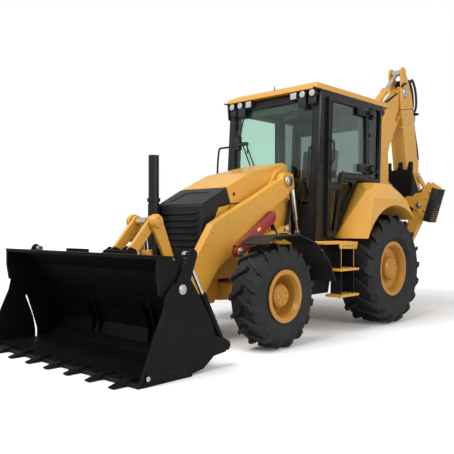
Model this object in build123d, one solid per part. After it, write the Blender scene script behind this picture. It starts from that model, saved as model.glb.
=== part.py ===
from build123d import *
import os
from math import cos, hypot, pi, radians, sin

# Backhoe loader, millimetres. It is drawn from the point on the ground under the rear axle:
# +X to the nose, +Y to the machine's left, +Z up, z = 0 the ground. keep() then moves every
# piece by REAR_AXLE_X, which puts the middle of the whole machine's length at x = 0.
REAR_AXLE_X = -596.5

# ---- driving dimensions ----
WHEELBASE = 2192.0
REAR_TYRE_R, REAR_TYRE_W, REAR_WHEEL_Y = 668.0, 500.0, 863.0
FRONT_TYRE_R, FRONT_TYRE_W, FRONT_WHEEL_Y = 509.0, 315.0, 940.0
REAR_RIM_R, FRONT_RIM_R = 305.0, 229.0
TYRE_SIDES = 16
KINGPIN_Y = 700.0
STEER_ROD = (2030.0, 540.0)
BUCKET_HALF = 1203.0
HOOD_HALF = 340.0
CAB_HALF = 700.0
GAP = 7.0
RUNNING = 0.05

# ---- pivots, as (x, z) in the machine's length and height ----
ARM_PIVOT = (1350.0, 1690.0)
ARM_IN, ARM_OUT = 392.0, 482.0
LIFT_BASE, LIFT_EYE = (1370.0, 1150.0), (2230.0, 925.0)
LIFT_RANGE = (0.0, 90.0)
BUCKET_HINGE = (3110.0, 290.0)
LEVER_FOOT, LEVER_TOP = (2835.0, 600.0), (3028.0, 1225.0)
LINK_EYE = (3303.0, 915.0)
TILT_BASE = (2937.0, 490.0)
BUCKET_RANGE = (-100.0, 30.0)
JAW_PIVOT = (3639.0, 688.0)
JAW_BASE, JAW_EYE = (3100.0, 180.0), (3520.0, 950.0)
JAW_RANGE = (0.0, 70.0)
HOOD_HINGE = (1190.0, 1880.0)

SWING_X = -1515.0
BOOM_FOOT = (-1650.0, 1120.0)
BOOM_BASE, BOOM_EYE = (-1840.0, 560.0), (-1772.0, 1809.0)
BOOM_RANGE = (0.0, 80.0)
STICK_PIVOT = (-2230.0, 3330.0)
STICK_BASE, STICK_EYE = (-1130.0, 2740.0), (-2180.0, 3650.0)
STICK_RANGE = (-90.0, 0.0)
HOE_HINGE = (-2790.0, 1720.0)
ROCKER_FOOT, ROCKER_TOP = (-2640.0, 2020.0), (-2960.0, 1790.0)
ROCKER_RANGE = (-62.4, 0.0)
HOE_LINK_EYE = (-2870.0, 1501.0)
HOE_BASE = (-2610.0, 2960.0)
# Direction in which the outer stick slides, as a unit step in (x, z).
STICK_DIR = (-0.1786, -0.9839)

# ---- stabilizers, as (y, z) on the left; the right one is its mirror ----
LEG_X = -1110.0
LEG_FOOT, PAD_PIN = (430.0, 560.0), (904.0, 1475.0)
LEG_BASE, LEG_EYE = (140.0, 1540.0), (496.0, 934.0)
LEG_RANGE = (-85.0, 0.0)
PAD_EAR = (748.0, 1543.0)

LEFT, RIGHT = 1, -1
TURN_Y = Rot(90, 0, 0)


# ---- shapes that several pieces share ----
def turned(point, centre, angle):
    """The point turned about the centre, anticlockwise in its own plane."""
    dx, dz = point[0] - centre[0], point[1] - centre[1]
    c, s = cos(radians(angle)), sin(radians(angle))
    return (centre[0] + dx * c - dz * s, centre[1] + dx * s + dz * c)


def span(a, b):
    return hypot(b[0] - a[0], b[1] - a[1])


def side(y):
    """The sketch plane of the machine's side at this y: its own x, y are the machine's X, Z."""
    return Plane(origin=(0, y, 0), x_dir=(1, 0, 0), z_dir=(0, -1, 0))


def counter(points):
    """The same outline, listed anticlockwise, so that every face looks the same way."""
    area = sum(a[0] * b[1] - b[0] * a[1] for a, b in zip(points, points[1:] + points[:1]))
    return points if area > 0 else points[::-1]


def face(outline=(), discs=(), holes=()):
    """A flat shape: an outline joined with round discs, less round holes, each (x, z, radius)."""
    shape = Polygon(*counter(outline), align=None) if outline else None
    for x, z, radius in discs:
        disc = Pos(x, z) * Circle(radius)
        shape = disc if shape is None else shape + disc
    for x, z, radius in holes:
        shape -= Pos(x, z) * Circle(radius)
    return shape


def raised(plane, shape, amount):
    """The flat shape, laid on the plane and drawn out along the plane's own z."""
    return extrude(plane * shape, amount=amount, dir=plane.z_dir)


def slab(y_low, y_high, outline=(), discs=(), holes=()):
    """A plate that stands along the machine, from y_low to y_high."""
    return raised(side(y_high), face(outline, discs, holes), y_high - y_low)


def cross_slab(x_low, x_high, outline=(), discs=(), holes=()):
    """A plate that stands across the machine, its outline as (y, z)."""
    plane = Plane(origin=(x_low, 0, 0), x_dir=(0, 1, 0), z_dir=(1, 0, 0))
    return raised(plane, face(outline, discs, holes), x_high - x_low)


def floor_slab(z_low, z_high, outline):
    """A level plate, its outline as (x, y)."""
    return raised(Plane.XY.offset(z_low), face(outline), z_high - z_low)


def block(x_low, x_high, y_low, y_high, z_low, z_high):
    size = (x_high - x_low, y_high - y_low, z_high - z_low)
    middle = ((x_low + x_high) / 2, (y_low + y_high) / 2, (z_low + z_high) / 2)
    return Pos(*middle) * Box(*size)


def bar_y(x, z, radius, y_low, y_high):
    """A round bar across the machine."""
    return Pos(x, (y_low + y_high) / 2, z) * TURN_Y * Cylinder(radius, y_high - y_low)


def bar_x(y, z, radius, x_low, x_high):
    """A round bar along the machine."""
    return Pos((x_low + x_high) / 2, y, z) * Rot(0, 90, 0) * Cylinder(radius, x_high - x_low)


def strip(points, thickness):
    """The outline of a bent strip: the points, and the same points moved inwards, square to the bend."""
    inner = []
    for i, (x, z) in enumerate(points):
        before, after = points[max(i - 1, 0)], points[min(i + 1, len(points) - 1)]
        length = span(before, after)
        inner.append((x + (after[1] - before[1]) / length * thickness,
                      z - (after[0] - before[0]) / length * thickness))
    return list(points) + inner[::-1]


def both_sides(piece):
    return [piece, mirror(piece, about=Plane.XZ)]


def keep(name, *pieces):
    """Writes one node."""
    solids = []
    for piece in pieces:
        solids.extend(piece.solids() if not isinstance(piece, (list, tuple))
                      else [s for p in piece for s in p.solids()])
    node = Compound(children=[Pos(REAR_AXLE_X, 0, 0) * s for s in solids])
    export_step(node, f"parts/{name}.step")


# ---- hydraulic cylinders ----
def reach(base, eye, pivot, limits):
    """Shortest and longest pin-to-pin length of a cylinder whose eye turns about the pivot."""
    steps = 16
    angles = [limits[0] + (limits[1] - limits[0]) * i / steps for i in range(steps + 1)]
    lengths = [span(base, turned(eye, pivot, a)) for a in angles]
    return min(lengths), max(lengths)


def cylinder(base, eye, limits, barrel_r, rod_r, base_w, eye_w, pin_r, lug_r):
    """Barrel and rod in the plane y = 0. At its shortest the gland just clears lugs of lug_r."""
    length = span(base, eye)
    shortest, longest = limits
    eye_r, base_r = rod_r * 1.55, barrel_r * 0.95
    gland = shortest - lug_r - 12
    tail = min(longest - gland + 60, shortest - base_r - 14)
    along = Plane(origin=(base[0], 0, base[1]), x_dir=(0, 1, 0),
                  z_dir=(eye[0] - base[0], 0, eye[1] - base[1]))
    bore = rod_r + 1.0
    tube = extrude(along.offset(base_r * 0.6) * Circle(barrel_r), amount=gland - base_r * 0.6 - 40)
    neck = extrude(along.offset(gland - 60) * Circle(barrel_r * 1.1), amount=60)
    barrel = tube + neck + bar_y(base[0], base[1], base_r, -base_w / 2, base_w / 2)
    barrel -= extrude(along.offset(base_r + 4) * Circle(bore), amount=gland)
    barrel -= bar_y(base[0], base[1], pin_r + RUNNING, -base_w, base_w)
    rod = extrude(along.offset(length - tail) * Circle(rod_r), amount=tail - eye_r * 0.5)
    rod += bar_y(eye[0], eye[1], eye_r, -eye_w / 2, eye_w / 2)
    return barrel, rod


def at_y(y, *pieces):
    return [Pos(0, y, 0) * piece for piece in pieces]


# ---- wheels: made on the origin with the axle along Y and the outer side at +Y ----
def ring(sections, sides):
    """A flat-sided round body on the axle: (along the axle, radius to its corners) of each section."""
    body = None
    for (y_low, r_low), (y_high, r_high) in zip(sections, sections[1:]):
        ends = [Plane.XZ.offset(-y) * RegularPolygon(r, sides) for y, r in ((y_low, r_low), (y_high, r_high))]
        slice_of = loft(ends, ruled=True)
        body = slice_of if body is None else body + slice_of
    return body


def tyre(radius, width, rim_r, bead, lug, lugs, lug_w):
    """An agricultural tyre: a flat-sided carcass and two staggered rows of slanting lugs."""
    half, lean = width / 2, width * 0.36
    # Half a lug's length round the tyre. The lowest lug ends stand level on the ground.
    reach_of = (lean + lug_w * 1.15) / 2
    quarter = radians(90.0 / lugs)
    top = (radius - reach_of * sin(quarter)) / cos(quarter)
    tread = radius - lug
    crown = [(half * 0.98, tread - 60), (half * 0.80, tread - 4)]
    body = ring([(-y, r) for y, r in crown] + crown[::-1], TYRE_SIDES)
    # The side walls fall in towards the rim's lips.
    body -= ring([(-half, rim_r + 95), (-bead - 3, rim_r + 30)], TYRE_SIDES)
    body -= ring([(bead + 3, rim_r + 30), (half, rim_r + 95)], TYRE_SIDES)
    bore = (rim_r + 0.3) / cos(pi / TYRE_SIDES)
    body -= ring([(-half, bore), (half, bore)], TYRE_SIDES)
    # (along the axle, out from it): the lug's end view, the same all along it
    view = [(-14, tread - 30), (-14, top), (half * 0.80, top), (half * 0.98, top - 40), (half, tread - 90),
            (half * 0.9, tread - 90), (half * 0.7, tread - 30)]
    # (round the tyre, along the axle): the lug from above
    plan = [(-reach_of, -14), (lug_w - reach_of, -14),
            (reach_of, half + 5), (reach_of - lug_w * 1.15, half + 5)]
    one = extrude(Plane.YZ.offset(-radius) * Polygon(*counter(view), align=None), amount=2 * radius)
    one &= extrude(Plane.XY.offset(tread - 100) * Polygon(*counter(plan), align=None), amount=lug + 200)
    row = []
    for i in range(lugs):
        row.append(Rot(0, 360.0 / lugs * (i + 0.25), 0) * one)
        row.append(Rot(0, 360.0 / lugs * (i + 0.75), 0) * mirror(one, about=Plane.XZ))
    return body.fuse(*[s for piece in row for s in piece.solids()])


def rim(rim_r, bead, lip_w, disc, hub_r, hub_end, dish):
    """A wheel: a flanged well, a dished disc and its hub. Disc and hub_end are places on the axle."""
    lip, low = rim_r + 26, rim_r - 1
    # (along the axle, radius) of the section, from the outer lip round to the inner one
    section = [(bead + 4, low), (bead + 14, lip - 8), (bead + 14, lip), (bead + 14 + lip_w, lip),
               (bead + 14 + lip_w, low - 16), (bead - 20, low - 34), (disc + 40, low - 46),
               (disc + dish, rim_r * 0.62), (disc + dish, hub_r + 24), (hub_end - 26, hub_r + 16),
               (hub_end, hub_r - 8), (hub_end, 0), (disc + 10, 0), (disc + 10, 60 + RUNNING),
               (disc - 30, 60 + RUNNING), (disc - 30, hub_r + 30), (disc + dish - 22, hub_r + 40),
               (disc + dish - 22, rim_r * 0.60), (disc - 14, low - 62), (20 - bead, low - 34),
               (-bead - 14 - lip_w, low - 16), (-bead - 14 - lip_w, lip), (-bead - 14, lip),
               (-bead - 14, lip - 8), (-bead - 4, low), (-bead * 0.5, low - 18), (bead * 0.5, low - 18)]
    return Rot(0, 0, 90) * revolve(face(section), axis=Axis.X, revolution_arc=360)


def wheels():
    rear_bead, front_bead = REAR_TYRE_W * 0.36, FRONT_TYRE_W * 0.43
    rear = tyre(REAR_TYRE_R, REAR_TYRE_W, REAR_RIM_R, rear_bead, 36, 18, 46)
    front = tyre(FRONT_TYRE_R, FRONT_TYRE_W, FRONT_RIM_R, front_bead, 30, 16, 36)
    rear_rim = rim(REAR_RIM_R, rear_bead, 10, 70, 120, 190, 30)
    front_rim = rim(FRONT_RIM_R, front_bead, 8, -40, 96, 120, -20)
    places = (("rear", rear, rear_rim, 0.0, REAR_WHEEL_Y, REAR_TYRE_R),
              ("front", front, front_rim, WHEELBASE, FRONT_WHEEL_Y, FRONT_TYRE_R))
    for end, rubber, metal, x, y, z in places:
        for hand, word in ((LEFT, "left"), (RIGHT, "right")):
            put = Pos(x, hand * y, z)
            for name, piece in (("tyre", rubber), ("rim", metal)):
                keep(f"{end}_{word}_{name}", put * (piece if hand == LEFT else mirror(piece, about=Plane.XZ)))


# ---- chassis ----
def main_frame():
    """Rails, nose, loader towers, hood side panels and both axles."""
    rail = slab(270, 345, [(-1028, 640), (-1028, 990), (1150, 990), (1200, 1000), (2413, 1000), (2413, 640)])
    tower = slab(348, 380, [(1140, 900), (1190, 1650), (1240, 1780), (1330, 1838), (1430, 1800),
                            (1600, 1600), (1700, 900)])
    foot = block(1140, 1700, 340, 380, 700, 1000)
    hub = bar_y(*ARM_PIVOT, 85, 370, ARM_IN - 6)
    pin = bar_y(*ARM_PIVOT, 45, 360, ARM_OUT + 6) + bar_y(*ARM_PIVOT, 66, ARM_OUT + 6, ARM_OUT + 18)
    lift_pin = bar_y(*LIFT_BASE, 30, 360, ARM_OUT + 6) + bar_y(*LIFT_BASE, 50, ARM_OUT + 6, ARM_OUT + 16)
    panel = slab(HOOD_HALF - 15, HOOD_HALF, [(1150, 995), (1150, 1490), (2153, 1409), (2330, 1374),
                                             (2405, 1215), (2413, 1085), (2413, 995)])
    half = rail + tower + foot + hub + pin + lift_pin + panel
    frame = half + mirror(half, about=Plane.XZ)
    for x_low, x_high in ((-1028, -940), (-60, 60), (1120, 1240), (2040, 2110), (2300, 2413)):
        frame += block(x_low, x_high, -275, 275, 660, 940)
    frame += slab(-300, 300, [(2300, 470), (2300, 700), (2560, 700), (2562, 430), (2530, 392), (2360, 392)])
    frame += slab(-300, 300, [(2080, 480), (2080, 700), (2125, 700), (2125, 480)])
    frame += block(2540, 2700, -380, -260, 640, 700)
    axle = bar_y(0, REAR_TYRE_R, 105, -610, 610) + bar_y(0, REAR_TYRE_R, 165, -150, 150)
    axle += bar_y(0, REAR_TYRE_R, 130, 590, 890) + bar_y(0, REAR_TYRE_R, 130, -890, -590)
    axle += bar_y(0, REAR_TYRE_R, 60, -REAR_WHEEL_Y - 75, REAR_WHEEL_Y + 75)
    keep("main_frame", frame + axle + front_axle())


def front_axle():
    """The beam on its trunnion, kingpin bosses and the steering cylinder's barrel."""
    beam = cross_slab(WHEELBASE - 62, WHEELBASE + 62, [(-640, 452), (-640, 558), (-260, 600), (260, 600),
                                                       (640, 558), (640, 452), (260, 410), (-260, 410)])
    axle = beam + bar_x(0, 520, 62, WHEELBASE - 100, WHEELBASE + 115)
    for hand in (LEFT, RIGHT):
        axle += Pos(WHEELBASE, hand * KINGPIN_Y, 505) * Cylinder(60, 140)
        axle += Pos(WHEELBASE, hand * 640, 505) * Box(90, 60, 100)
        axle -= Pos(WHEELBASE, hand * KINGPIN_Y, 505) * Cylinder(26 + RUNNING, 200)
    mount = block(STEER_ROD[0] + 30, WHEELBASE - 55, -80, 80, 560, 598)
    barrel = bar_y(*STEER_ROD, 42, -190, 190)
    return (axle + mount + barrel) - bar_y(*STEER_ROD, 23, -200, 200)


def steering_rod():
    """The double-ended rod, which slides across the axle."""
    rod = bar_y(*STEER_ROD, 21, -520, 520)
    keep("steering_rod", rod + bar_y(*STEER_ROD, 30, 470, 540) + bar_y(*STEER_ROD, 30, -540, -470))


def knuckles():
    """Each knuckle grips its kingpin boss above and below and carries the wheel's spindle."""
    for hand, word in ((LEFT, "left"), (RIGHT, "right")):
        knuckle = Pos(WHEELBASE, KINGPIN_Y, 505) * Cylinder(26, 240)
        for z in (602, 408):
            knuckle += Pos(WHEELBASE, KINGPIN_Y, z) * Cylinder(58, 38)
            knuckle += block(WHEELBASE - 52, WHEELBASE + 52, KINGPIN_Y, 800, z - 19, z + 19)
        knuckle += block(WHEELBASE - 62, WHEELBASE + 62, 772, 812, 389, 621)
        knuckle += bar_y(WHEELBASE, FRONT_TYRE_R, 84, 808, 866)
        knuckle += bar_y(WHEELBASE, FRONT_TYRE_R, 60, 860, FRONT_WHEEL_Y - 35)
        knuckle += block(WHEELBASE - 182, WHEELBASE - 40, 706, 742, 583, 621)
        keep(f"{word}_knuckle", knuckle if hand == LEFT else mirror(knuckle, about=Plane.XZ))


def engine_block():
    keep("engine_block", block(1500, 2290, -250, 250, 960, 1380))


def mudguards():
    """Thin black guards over the front tyres, on the frame."""
    line = [(2505, 1012), (2360, 1088), (1965, 1100), (1680, 1012), (1435, 806), (1322, 600)]
    guard = slab(795, 1100, strip(line[::-1], 12))
    stay = block(1480, 1560, 380, 800, 858, 874)
    keep("front_mudguards", *both_sides(guard + stay))


def tanks_and_steps():
    """The tank and tool boxes under the platform, and the yellow platforms and steps."""
    tank = slab(382, 785, [(1000, 430), (960, 560), (955, 978), (1340, 978), (1420, 800), (1420, 470),
                           (1380, 430)])
    keep("side_tanks", *both_sides(tank))
    platform = block(722, 1377, 703, 1000, 984, 1008)
    platform += block(800, 812, 860, 1000, 404, 986) + block(1058, 1070, 860, 1000, 404, 986)
    # (height, outer edge) of each step
    for z, y_out in ((690, 1060), (404, 1060)):
        platform += block(790, 1170, 858, y_out, z, z + 26)
    keep("steps", *both_sides(platform))


FENDER_SIDE = [(688, 1040), (535, 1600), (330, 1705), (0, 1738), (-170, 1610), (-610, 1130), (-610, 1040)]
FENDER_BACK = [(606, 900), (606, 1738), (720, 1738), (1000, 1700), (1113, 1510), (1113, 900)]


def rear_fenders():
    """A boxy guard over each rear tyre: tall crown, sloping outer edge, round arch."""
    guard = slab(606, 1113, FENDER_SIDE) & cross_slab(-700, 800, FENDER_BACK)
    guard -= bar_y(0, REAR_TYRE_R, 770, 500, 1200)
    a, b, c = Vector(707, 700, 1051), Vector(223, 700, 1714), Vector(535, 1000, 1600)
    out = (b - a).cross(c - a)
    if out.X < 0:
        out = out * -1
    guard = split(guard, bisect_by=Plane(origin=a, x_dir=b - a, z_dir=out), keep=Keep.BOTTOM)
    keep("rear_fenders", *both_sides(guard))


# ---- cab ----
CAB_SIDE = [(1128, 1010), (1010, 2745), (-400, 2760), (-352, 1756), (232, 1756), (738, 1062), (738, 1010)]
DOOR = [(945, 1058), (775, 1058), (712, 1300), (632, 1640), (600, 1755), (25, 1775), (25, 2690), (888, 2690)]
DOOR_WAY = [(935, 1075), (800, 1075), (738, 1310), (662, 1650), (628, 1790), (60, 1805), (60, 2665),
            (868, 2665)]
# The panes, as cut in the cab's side or in the door.
QUARTER = [(-294, 1800), (-340, 2690), (-40, 2690), (-40, 1800)]
LOW_PANE = [(640, 1230), (560, 1350), (330, 1672), (360, 1720), (575, 1715), (600, 1600)]
UPPER_PANE = [(80, 1830), (80, 2640), (842, 2640), (882, 1690), (680, 1690), (650, 1818)]
LOWER_PANE = [(905, 1120), (812, 1120), (762, 1310), (697, 1610), (886, 1610)]
WALL = 45
DOOR_HINGE = (5, 790)
DOOR_HINGE_Z = (1900, 2600)


def side_cut(points, y_low=600, y_high=760):
    return slab(y_low, y_high, points)


def cab_frame():
    """Posts, sills, floor and roof ring of the cab, hollow, its windows cut, and the work lamps."""
    plate = side_cut(CAB_SIDE, CAB_HALF - WALL, CAB_HALF)
    left = plate - side_cut(QUARTER) - side_cut(LOW_PANE) - side_cut(DOOR_WAY)
    for z in DOOR_HINGE_Z:
        left += block(-50, DOOR_HINGE[0] + 14, CAB_HALF - 5, 808, z + 34, z + 46)
        left += block(-50, DOOR_HINGE[0] + 14, CAB_HALF - 5, 808, z - 46, z - 34)
        left += Pos(*DOOR_HINGE, z) * Cylinder(10, 80)
    right = plate - side_cut(QUARTER) - side_cut(LOW_PANE) - side_cut(UPPER_PANE) - side_cut(LOWER_PANE)
    frame = left + mirror(right, about=Plane.XZ)
    shelf = slab(560, 660, strip([(738, 1062), (232, 1756), (-352, 1756)], -18))
    wheel_well = slab(560, 600, [(-352, 1010), (-352, 1760), (232, 1760), (738, 1066), (738, 1010)])
    for piece in (shelf, wheel_well):
        frame += piece + mirror(piece, about=Plane.XZ)
    frame += floor_slab(1010, 1045, [(1126, -CAB_HALF), (1126, CAB_HALF), (738, CAB_HALF), (738, 600),
                                     (-352, 600), (-352, -600), (738, -600), (738, -CAB_HALF)])
    front = slab(-CAB_HALF, CAB_HALF, [(1128, 1010), (1010, 2745), (962, 2745), (1080, 1010)])
    frame += front - block(900, 1200, -600, 600, 1420, 2660)
    rear = slab(-CAB_HALF, CAB_HALF, [(-352, 1752), (-400, 2760), (-355, 2760), (-307, 1752)])
    frame += rear - block(-450, -250, -600, 600, 1800, 2660)
    frame += slab(-600, 600, [(-352, 1010), (-352, 1760), (-307, 1760), (-307, 1010)])
    ring = slab(-CAB_HALF, CAB_HALF, [(1010, 2745), (-400, 2760), (-400, 2715), (1012, 2700)])
    frame += ring - block(-300, 900, -600, 600, 2650, 2800)
    # Work lamps under the roof's edges: (x of the lens, y, height, which way it looks)
    for x, y, z, way in ((1072, 620, 2712, 1), (1072, 484, 2712, 1), (-560, 600, 2712, -1)):
        for hand in (LEFT, RIGHT):
            frame += bar_x(hand * y, z, 46, *sorted((x, x - way * 70)))
            frame += block(*sorted((x - way * 60, 970 if way > 0 else -380)), hand * y - 14, hand * y + 14,
                           z - 12, z + 12)
    keep("cab_frame", frame)


def cab_roof():
    """The yellow roof, higher in the middle, over the cab's ring."""
    shape = slab(-690, 690, [(-580, 2762), (-560, 2826), (-300, 2868), (600, 2884), (960, 2862),
                             (1076, 2806), (1084, 2762)])
    shape &= cross_slab(-700, 1300, [(-690, 2700), (-690, 2825), (-560, 2884), (560, 2884), (690, 2825),
                                     (690, 2700)])
    keep("cab_roof", shape)


def cab_glass():
    """Windscreen, rear window, quarter windows, low panes and the right side's panes."""
    pane = 6
    panes = [slab(-599, 599, [(1076, 1421), (992, 2659), (992 - pane, 2659), (1076 - pane, 1421)]),
             slab(-599, 599, [(-332, 1801), (-373, 2659), (-373 + pane, 2659), (-332 + pane, 1801)])]
    for outline, hands in ((QUARTER, (LEFT, RIGHT)), (LOW_PANE, (LEFT, RIGHT)), (UPPER_PANE, (RIGHT,)),
                           (LOWER_PANE, (RIGHT,))):
        glass = slab(676, 676 + pane, outline)
        panes += [glass if hand == LEFT else mirror(glass, about=Plane.XZ) for hand in hands]
    keep("cab_glass", panes)


def door():
    """The left door: frame with two windows and its hinge knuckles, and its glass."""
    leaf = slab(705, 740, DOOR) - side_cut(UPPER_PANE) - side_cut(LOWER_PANE)
    x, y = DOOR_HINGE
    for z in DOOR_HINGE_Z:
        leaf += block(x, 70, 735, y + 14, z - 26, z + 26) + Pos(x, y, z) * Cylinder(20, 52)
        leaf -= Pos(x, y, z) * Cylinder(10 + RUNNING, 100)
    keep("door_frame", leaf)
    keep("door_glass", [slab(719, 725, points) for points in (UPPER_PANE, LOWER_PANE)])


def operator_station():
    """Seat on its base, and the front console with the steering wheel."""
    seat = block(60, 560, -250, 250, 1500, 1600) + block(120, 480, -170, 170, 1045, 1500)
    seat += slab(-240, 240, [(20, 1560), (-70, 2180), (40, 2200), (130, 1600)])
    console = slab(-130, 130, [(1030, 1045), (1010, 1560), (900, 1640), (820, 1600), (860, 1045)])
    wheel = Plane(origin=(800, 0, 1720), x_dir=(0, 1, 0), z_dir=(-0.55, 0, 0.83))
    console += extrude(wheel * (Circle(205) - Circle(178)), amount=24)
    console += extrude(wheel * (Rectangle(370, 34) + Circle(48)), amount=20)
    console += extrude(wheel.offset(-190) * Circle(28), amount=200)
    keep("operator_station", seat, console)


# ---- hood ----
HOOD_SIDE = [(1145, 1930), (1225, 1909), (1536, 1835), (1829, 1765), (2210, 1590), (2150, 1420), (1145, 1502)]
HOOD_INSIDE = [(1135, 1914), (1225, 1893), (1536, 1819), (1829, 1749), (2190, 1583), (2200, 1300),
               (1135, 1300)]
HOOD_BACK = [(-HOOD_HALF, 1300), (-HOOD_HALF, 1700), (-HOOD_HALF + 20, 1880), (-250, 1935), (250, 1935),
             (HOOD_HALF - 20, 1880), (HOOD_HALF, 1700), (HOOD_HALF, 1300)]
HOOD_LINING = [(-326, 1290), (-326, 1700), (-307, 1871), (-246, 1919), (246, 1919), (307, 1871), (326, 1700),
               (326, 1290)]
GRILLE_SIDE = [(2226, 1582), (2559, 1411), (2575, 1380), (2575, 700), (2423, 700), (2423, 1087), (2415, 1218),
               (2342, 1382), (2165, 1418)]
SLOTS = 6


def hood():
    """The yellow hood that tips up about its rear edge, open below."""
    shell = slab(-HOOD_HALF, HOOD_HALF, HOOD_SIDE) & cross_slab(1000, 2400, HOOD_BACK)
    shell -= slab(-HOOD_HALF + 14, HOOD_HALF - 14, HOOD_INSIDE) & cross_slab(1000, 2400, HOOD_LINING)
    keep("hood", shell + bar_y(*HOOD_HINGE, 16, -316, 316))


def grille():
    """The fixed black shell of the nose: sloping recessed top and slotted front."""
    half = HOOD_HALF + 5
    shell = slab(-half, half, GRILLE_SIDE)
    shell -= slab(-half + 20, half - 20, [(2228, 1560), (2540, 1400), (2553, 1375), (2553, 690), (2400, 690),
                                          (2400, 1218), (2330, 1400), (2175, 1440)])
    for i in range(SLOTS):
        z = 940 + i * 66
        shell -= block(2500, 2600, -250, 250, z, z + 22)
    top = Plane(origin=(2392, 0, 1497), x_dir=(0, 1, 0), z_dir=(171, 0, 333))
    keep("grille", shell - raised(top.offset(-8), Polygon((-215, -120), (215, -120), (170, 100), (-170, 100),
                                                         align=None), 40))


def exhaust_stack():
    foot = block(2580, 2700, -380, -260, 700, 770)
    pipe = Pos(2640, -320, 1090) * Cylinder(62, 660) + Pos(2640, -320, 1650) * Cylinder(56, 570)
    pipe += Pos(2640, -320, 1460) * Cylinder(70, 40)
    keep("exhaust_stack", (foot + pipe) - Pos(2640, -320, 1750) * Cylinder(48, 500))


# ---- loader ----
# One lift arm, from its rear end round the knee to the bucket hinge and back along the lower edge.
ARM_LINE = [(1252, 1783), (1510, 1689), (1916, 1495), (2302, 1324), (2558, 1202), (2883, 741), (3176, 336),
            (3045, 240), (2684, 472), (2645, 556), (2487, 756), (2386, 827), (2282, 873), (2184, 1034),
            (1753, 1304), (1394, 1499), (1222, 1625)]
LIFT_LUG_R = 66
LIFT_ROD_Y = (ARM_IN + ARM_OUT) / 2
BRACE = [(2270, 872), (2206, 866), (1664, 1230), (1640, 1290), (1663, 1340), (1705, 1345), (2270, 985)]


def loader_arms():
    """Both lift arms, the cross tube that joins them, the lift lugs and the stowed service brace."""
    arm = slab(ARM_IN, ARM_OUT, ARM_LINE, [(*ARM_PIVOT, 105), (*BUCKET_HINGE, 80)],
               [(*ARM_PIVOT, 45 + RUNNING)])
    # Two lugs below the arm's edge take the lift rod's eye between them.
    for y in (ARM_IN, ARM_OUT - 16):
        arm += slab(y, y + 16, [(2195, 1070), (2168, 945), (2200, 866), (2290, 868), (2386, 827),
                                (2300, 1100)], [(*LIFT_EYE, LIFT_LUG_R)])
    arm -= slab(ARM_IN + 16, ARM_OUT - 16, [(2100, 1010), (2184, 1040), (2240, 1010), (2300, 960),
                                            (2300, 840), (2100, 840)])
    arm += bar_y(*BUCKET_HINGE, 38, ARM_IN - 30, ARM_OUT + 30)
    frame = arm + mirror(arm, about=Plane.XZ)
    frame += bar_y(*LEVER_FOOT, 75, -ARM_IN - 3, ARM_IN + 3)
    # The tube's front half is cut away in the middle, where the tilt cylinder swings past.
    frame -= slab(-56, 56, [(2718, 853), (2951, 311), (3144, 366), (2964, 912)])
    for y in (56, -76):
        frame += slab(y, y + 20, [(2780, 560), (2850, 690), (2975, 520), (2930, 440)],
                      [(*TILT_BASE, 56), (*LEVER_FOOT, 88)])
    frame += bar_y(*TILT_BASE, 28, -76, 76)
    brace = slab(ARM_OUT + 10, ARM_OUT + 63, BRACE) + bar_y(*LIFT_EYE, 40, ARM_OUT - 2, ARM_OUT + 80)
    keep("loader_arms", frame + brace)


def lift_cylinders():
    limits = reach(LIFT_BASE, LIFT_EYE, ARM_PIVOT, LIFT_RANGE)
    barrel, rod = cylinder(LIFT_BASE, LIFT_EYE, limits, 42, 21, 80, 38, 30, LIFT_LUG_R)
    keep("lift_barrels", *at_y(LIFT_ROD_Y, barrel), *at_y(-LIFT_ROD_Y, barrel))
    keep("lift_rods", *at_y(LIFT_ROD_Y, rod), *at_y(-LIFT_ROD_Y, rod))


def tilt_linkage():
    """The levers on the cross tube, the bucket links and the tilt cylinder between them."""
    lever_line = [(2790, 640), (2800, 850), (2962, 1252), (3092, 1200), (2915, 850), (2905, 600)]
    lever = slab(150, 190, lever_line, [(*LEVER_TOP, 72)]) + bar_y(*LEVER_FOOT, 112, 95, 190)
    lever -= bar_y(*LEVER_FOOT, 75 + RUNNING, 80, 200)
    lever += bar_y(*LEVER_TOP, 30, 62, 152) + bar_y(*LEVER_TOP, 64, 188, 208)
    keep("tilt_levers", *both_sides(lever))
    link_line = [(3062, 1262), (3341, 948), (3265, 882), (2988, 1192)]
    link = slab(100, 140, link_line, [(*LEVER_TOP, 58), (*LINK_EYE, 52)], [(*LEVER_TOP, 30 + RUNNING)])
    keep("bucket_links", *both_sides(link))
    limits = reach(TILT_BASE, LEVER_TOP, LEVER_FOOT, BUCKET_RANGE)
    barrel, rod = cylinder(TILT_BASE, LEVER_TOP, limits, 46, 27, 98, 104, 28, 46)
    keep("tilt_barrel", barrel)
    keep("tilt_rod", rod)


# The bucket's fixed back, from its top lip down to its lower edge, and its cheeks' front edge.
BACK_LINE = [(3862, 946), (3723, 931), (3562, 812), (3400, 580), (3290, 400), (3231, 247), (3270, 110),
             (3383, 33), (3518, 12)]
CHEEK_FRONT = [(3518, 110), (3560, 250), (3630, 454), (3700, 600), (3838, 650), (3862, 800)]
JAW_SIDE = [(3582, 700), (3600, 560), (3640, 454), (3560, 250), (3530, 110), (3530, 0), (4055, 0),
            (4055, 31), (3825, 540), (3800, 660), (3720, 745)]
JAW_SHELL = 20


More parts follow.
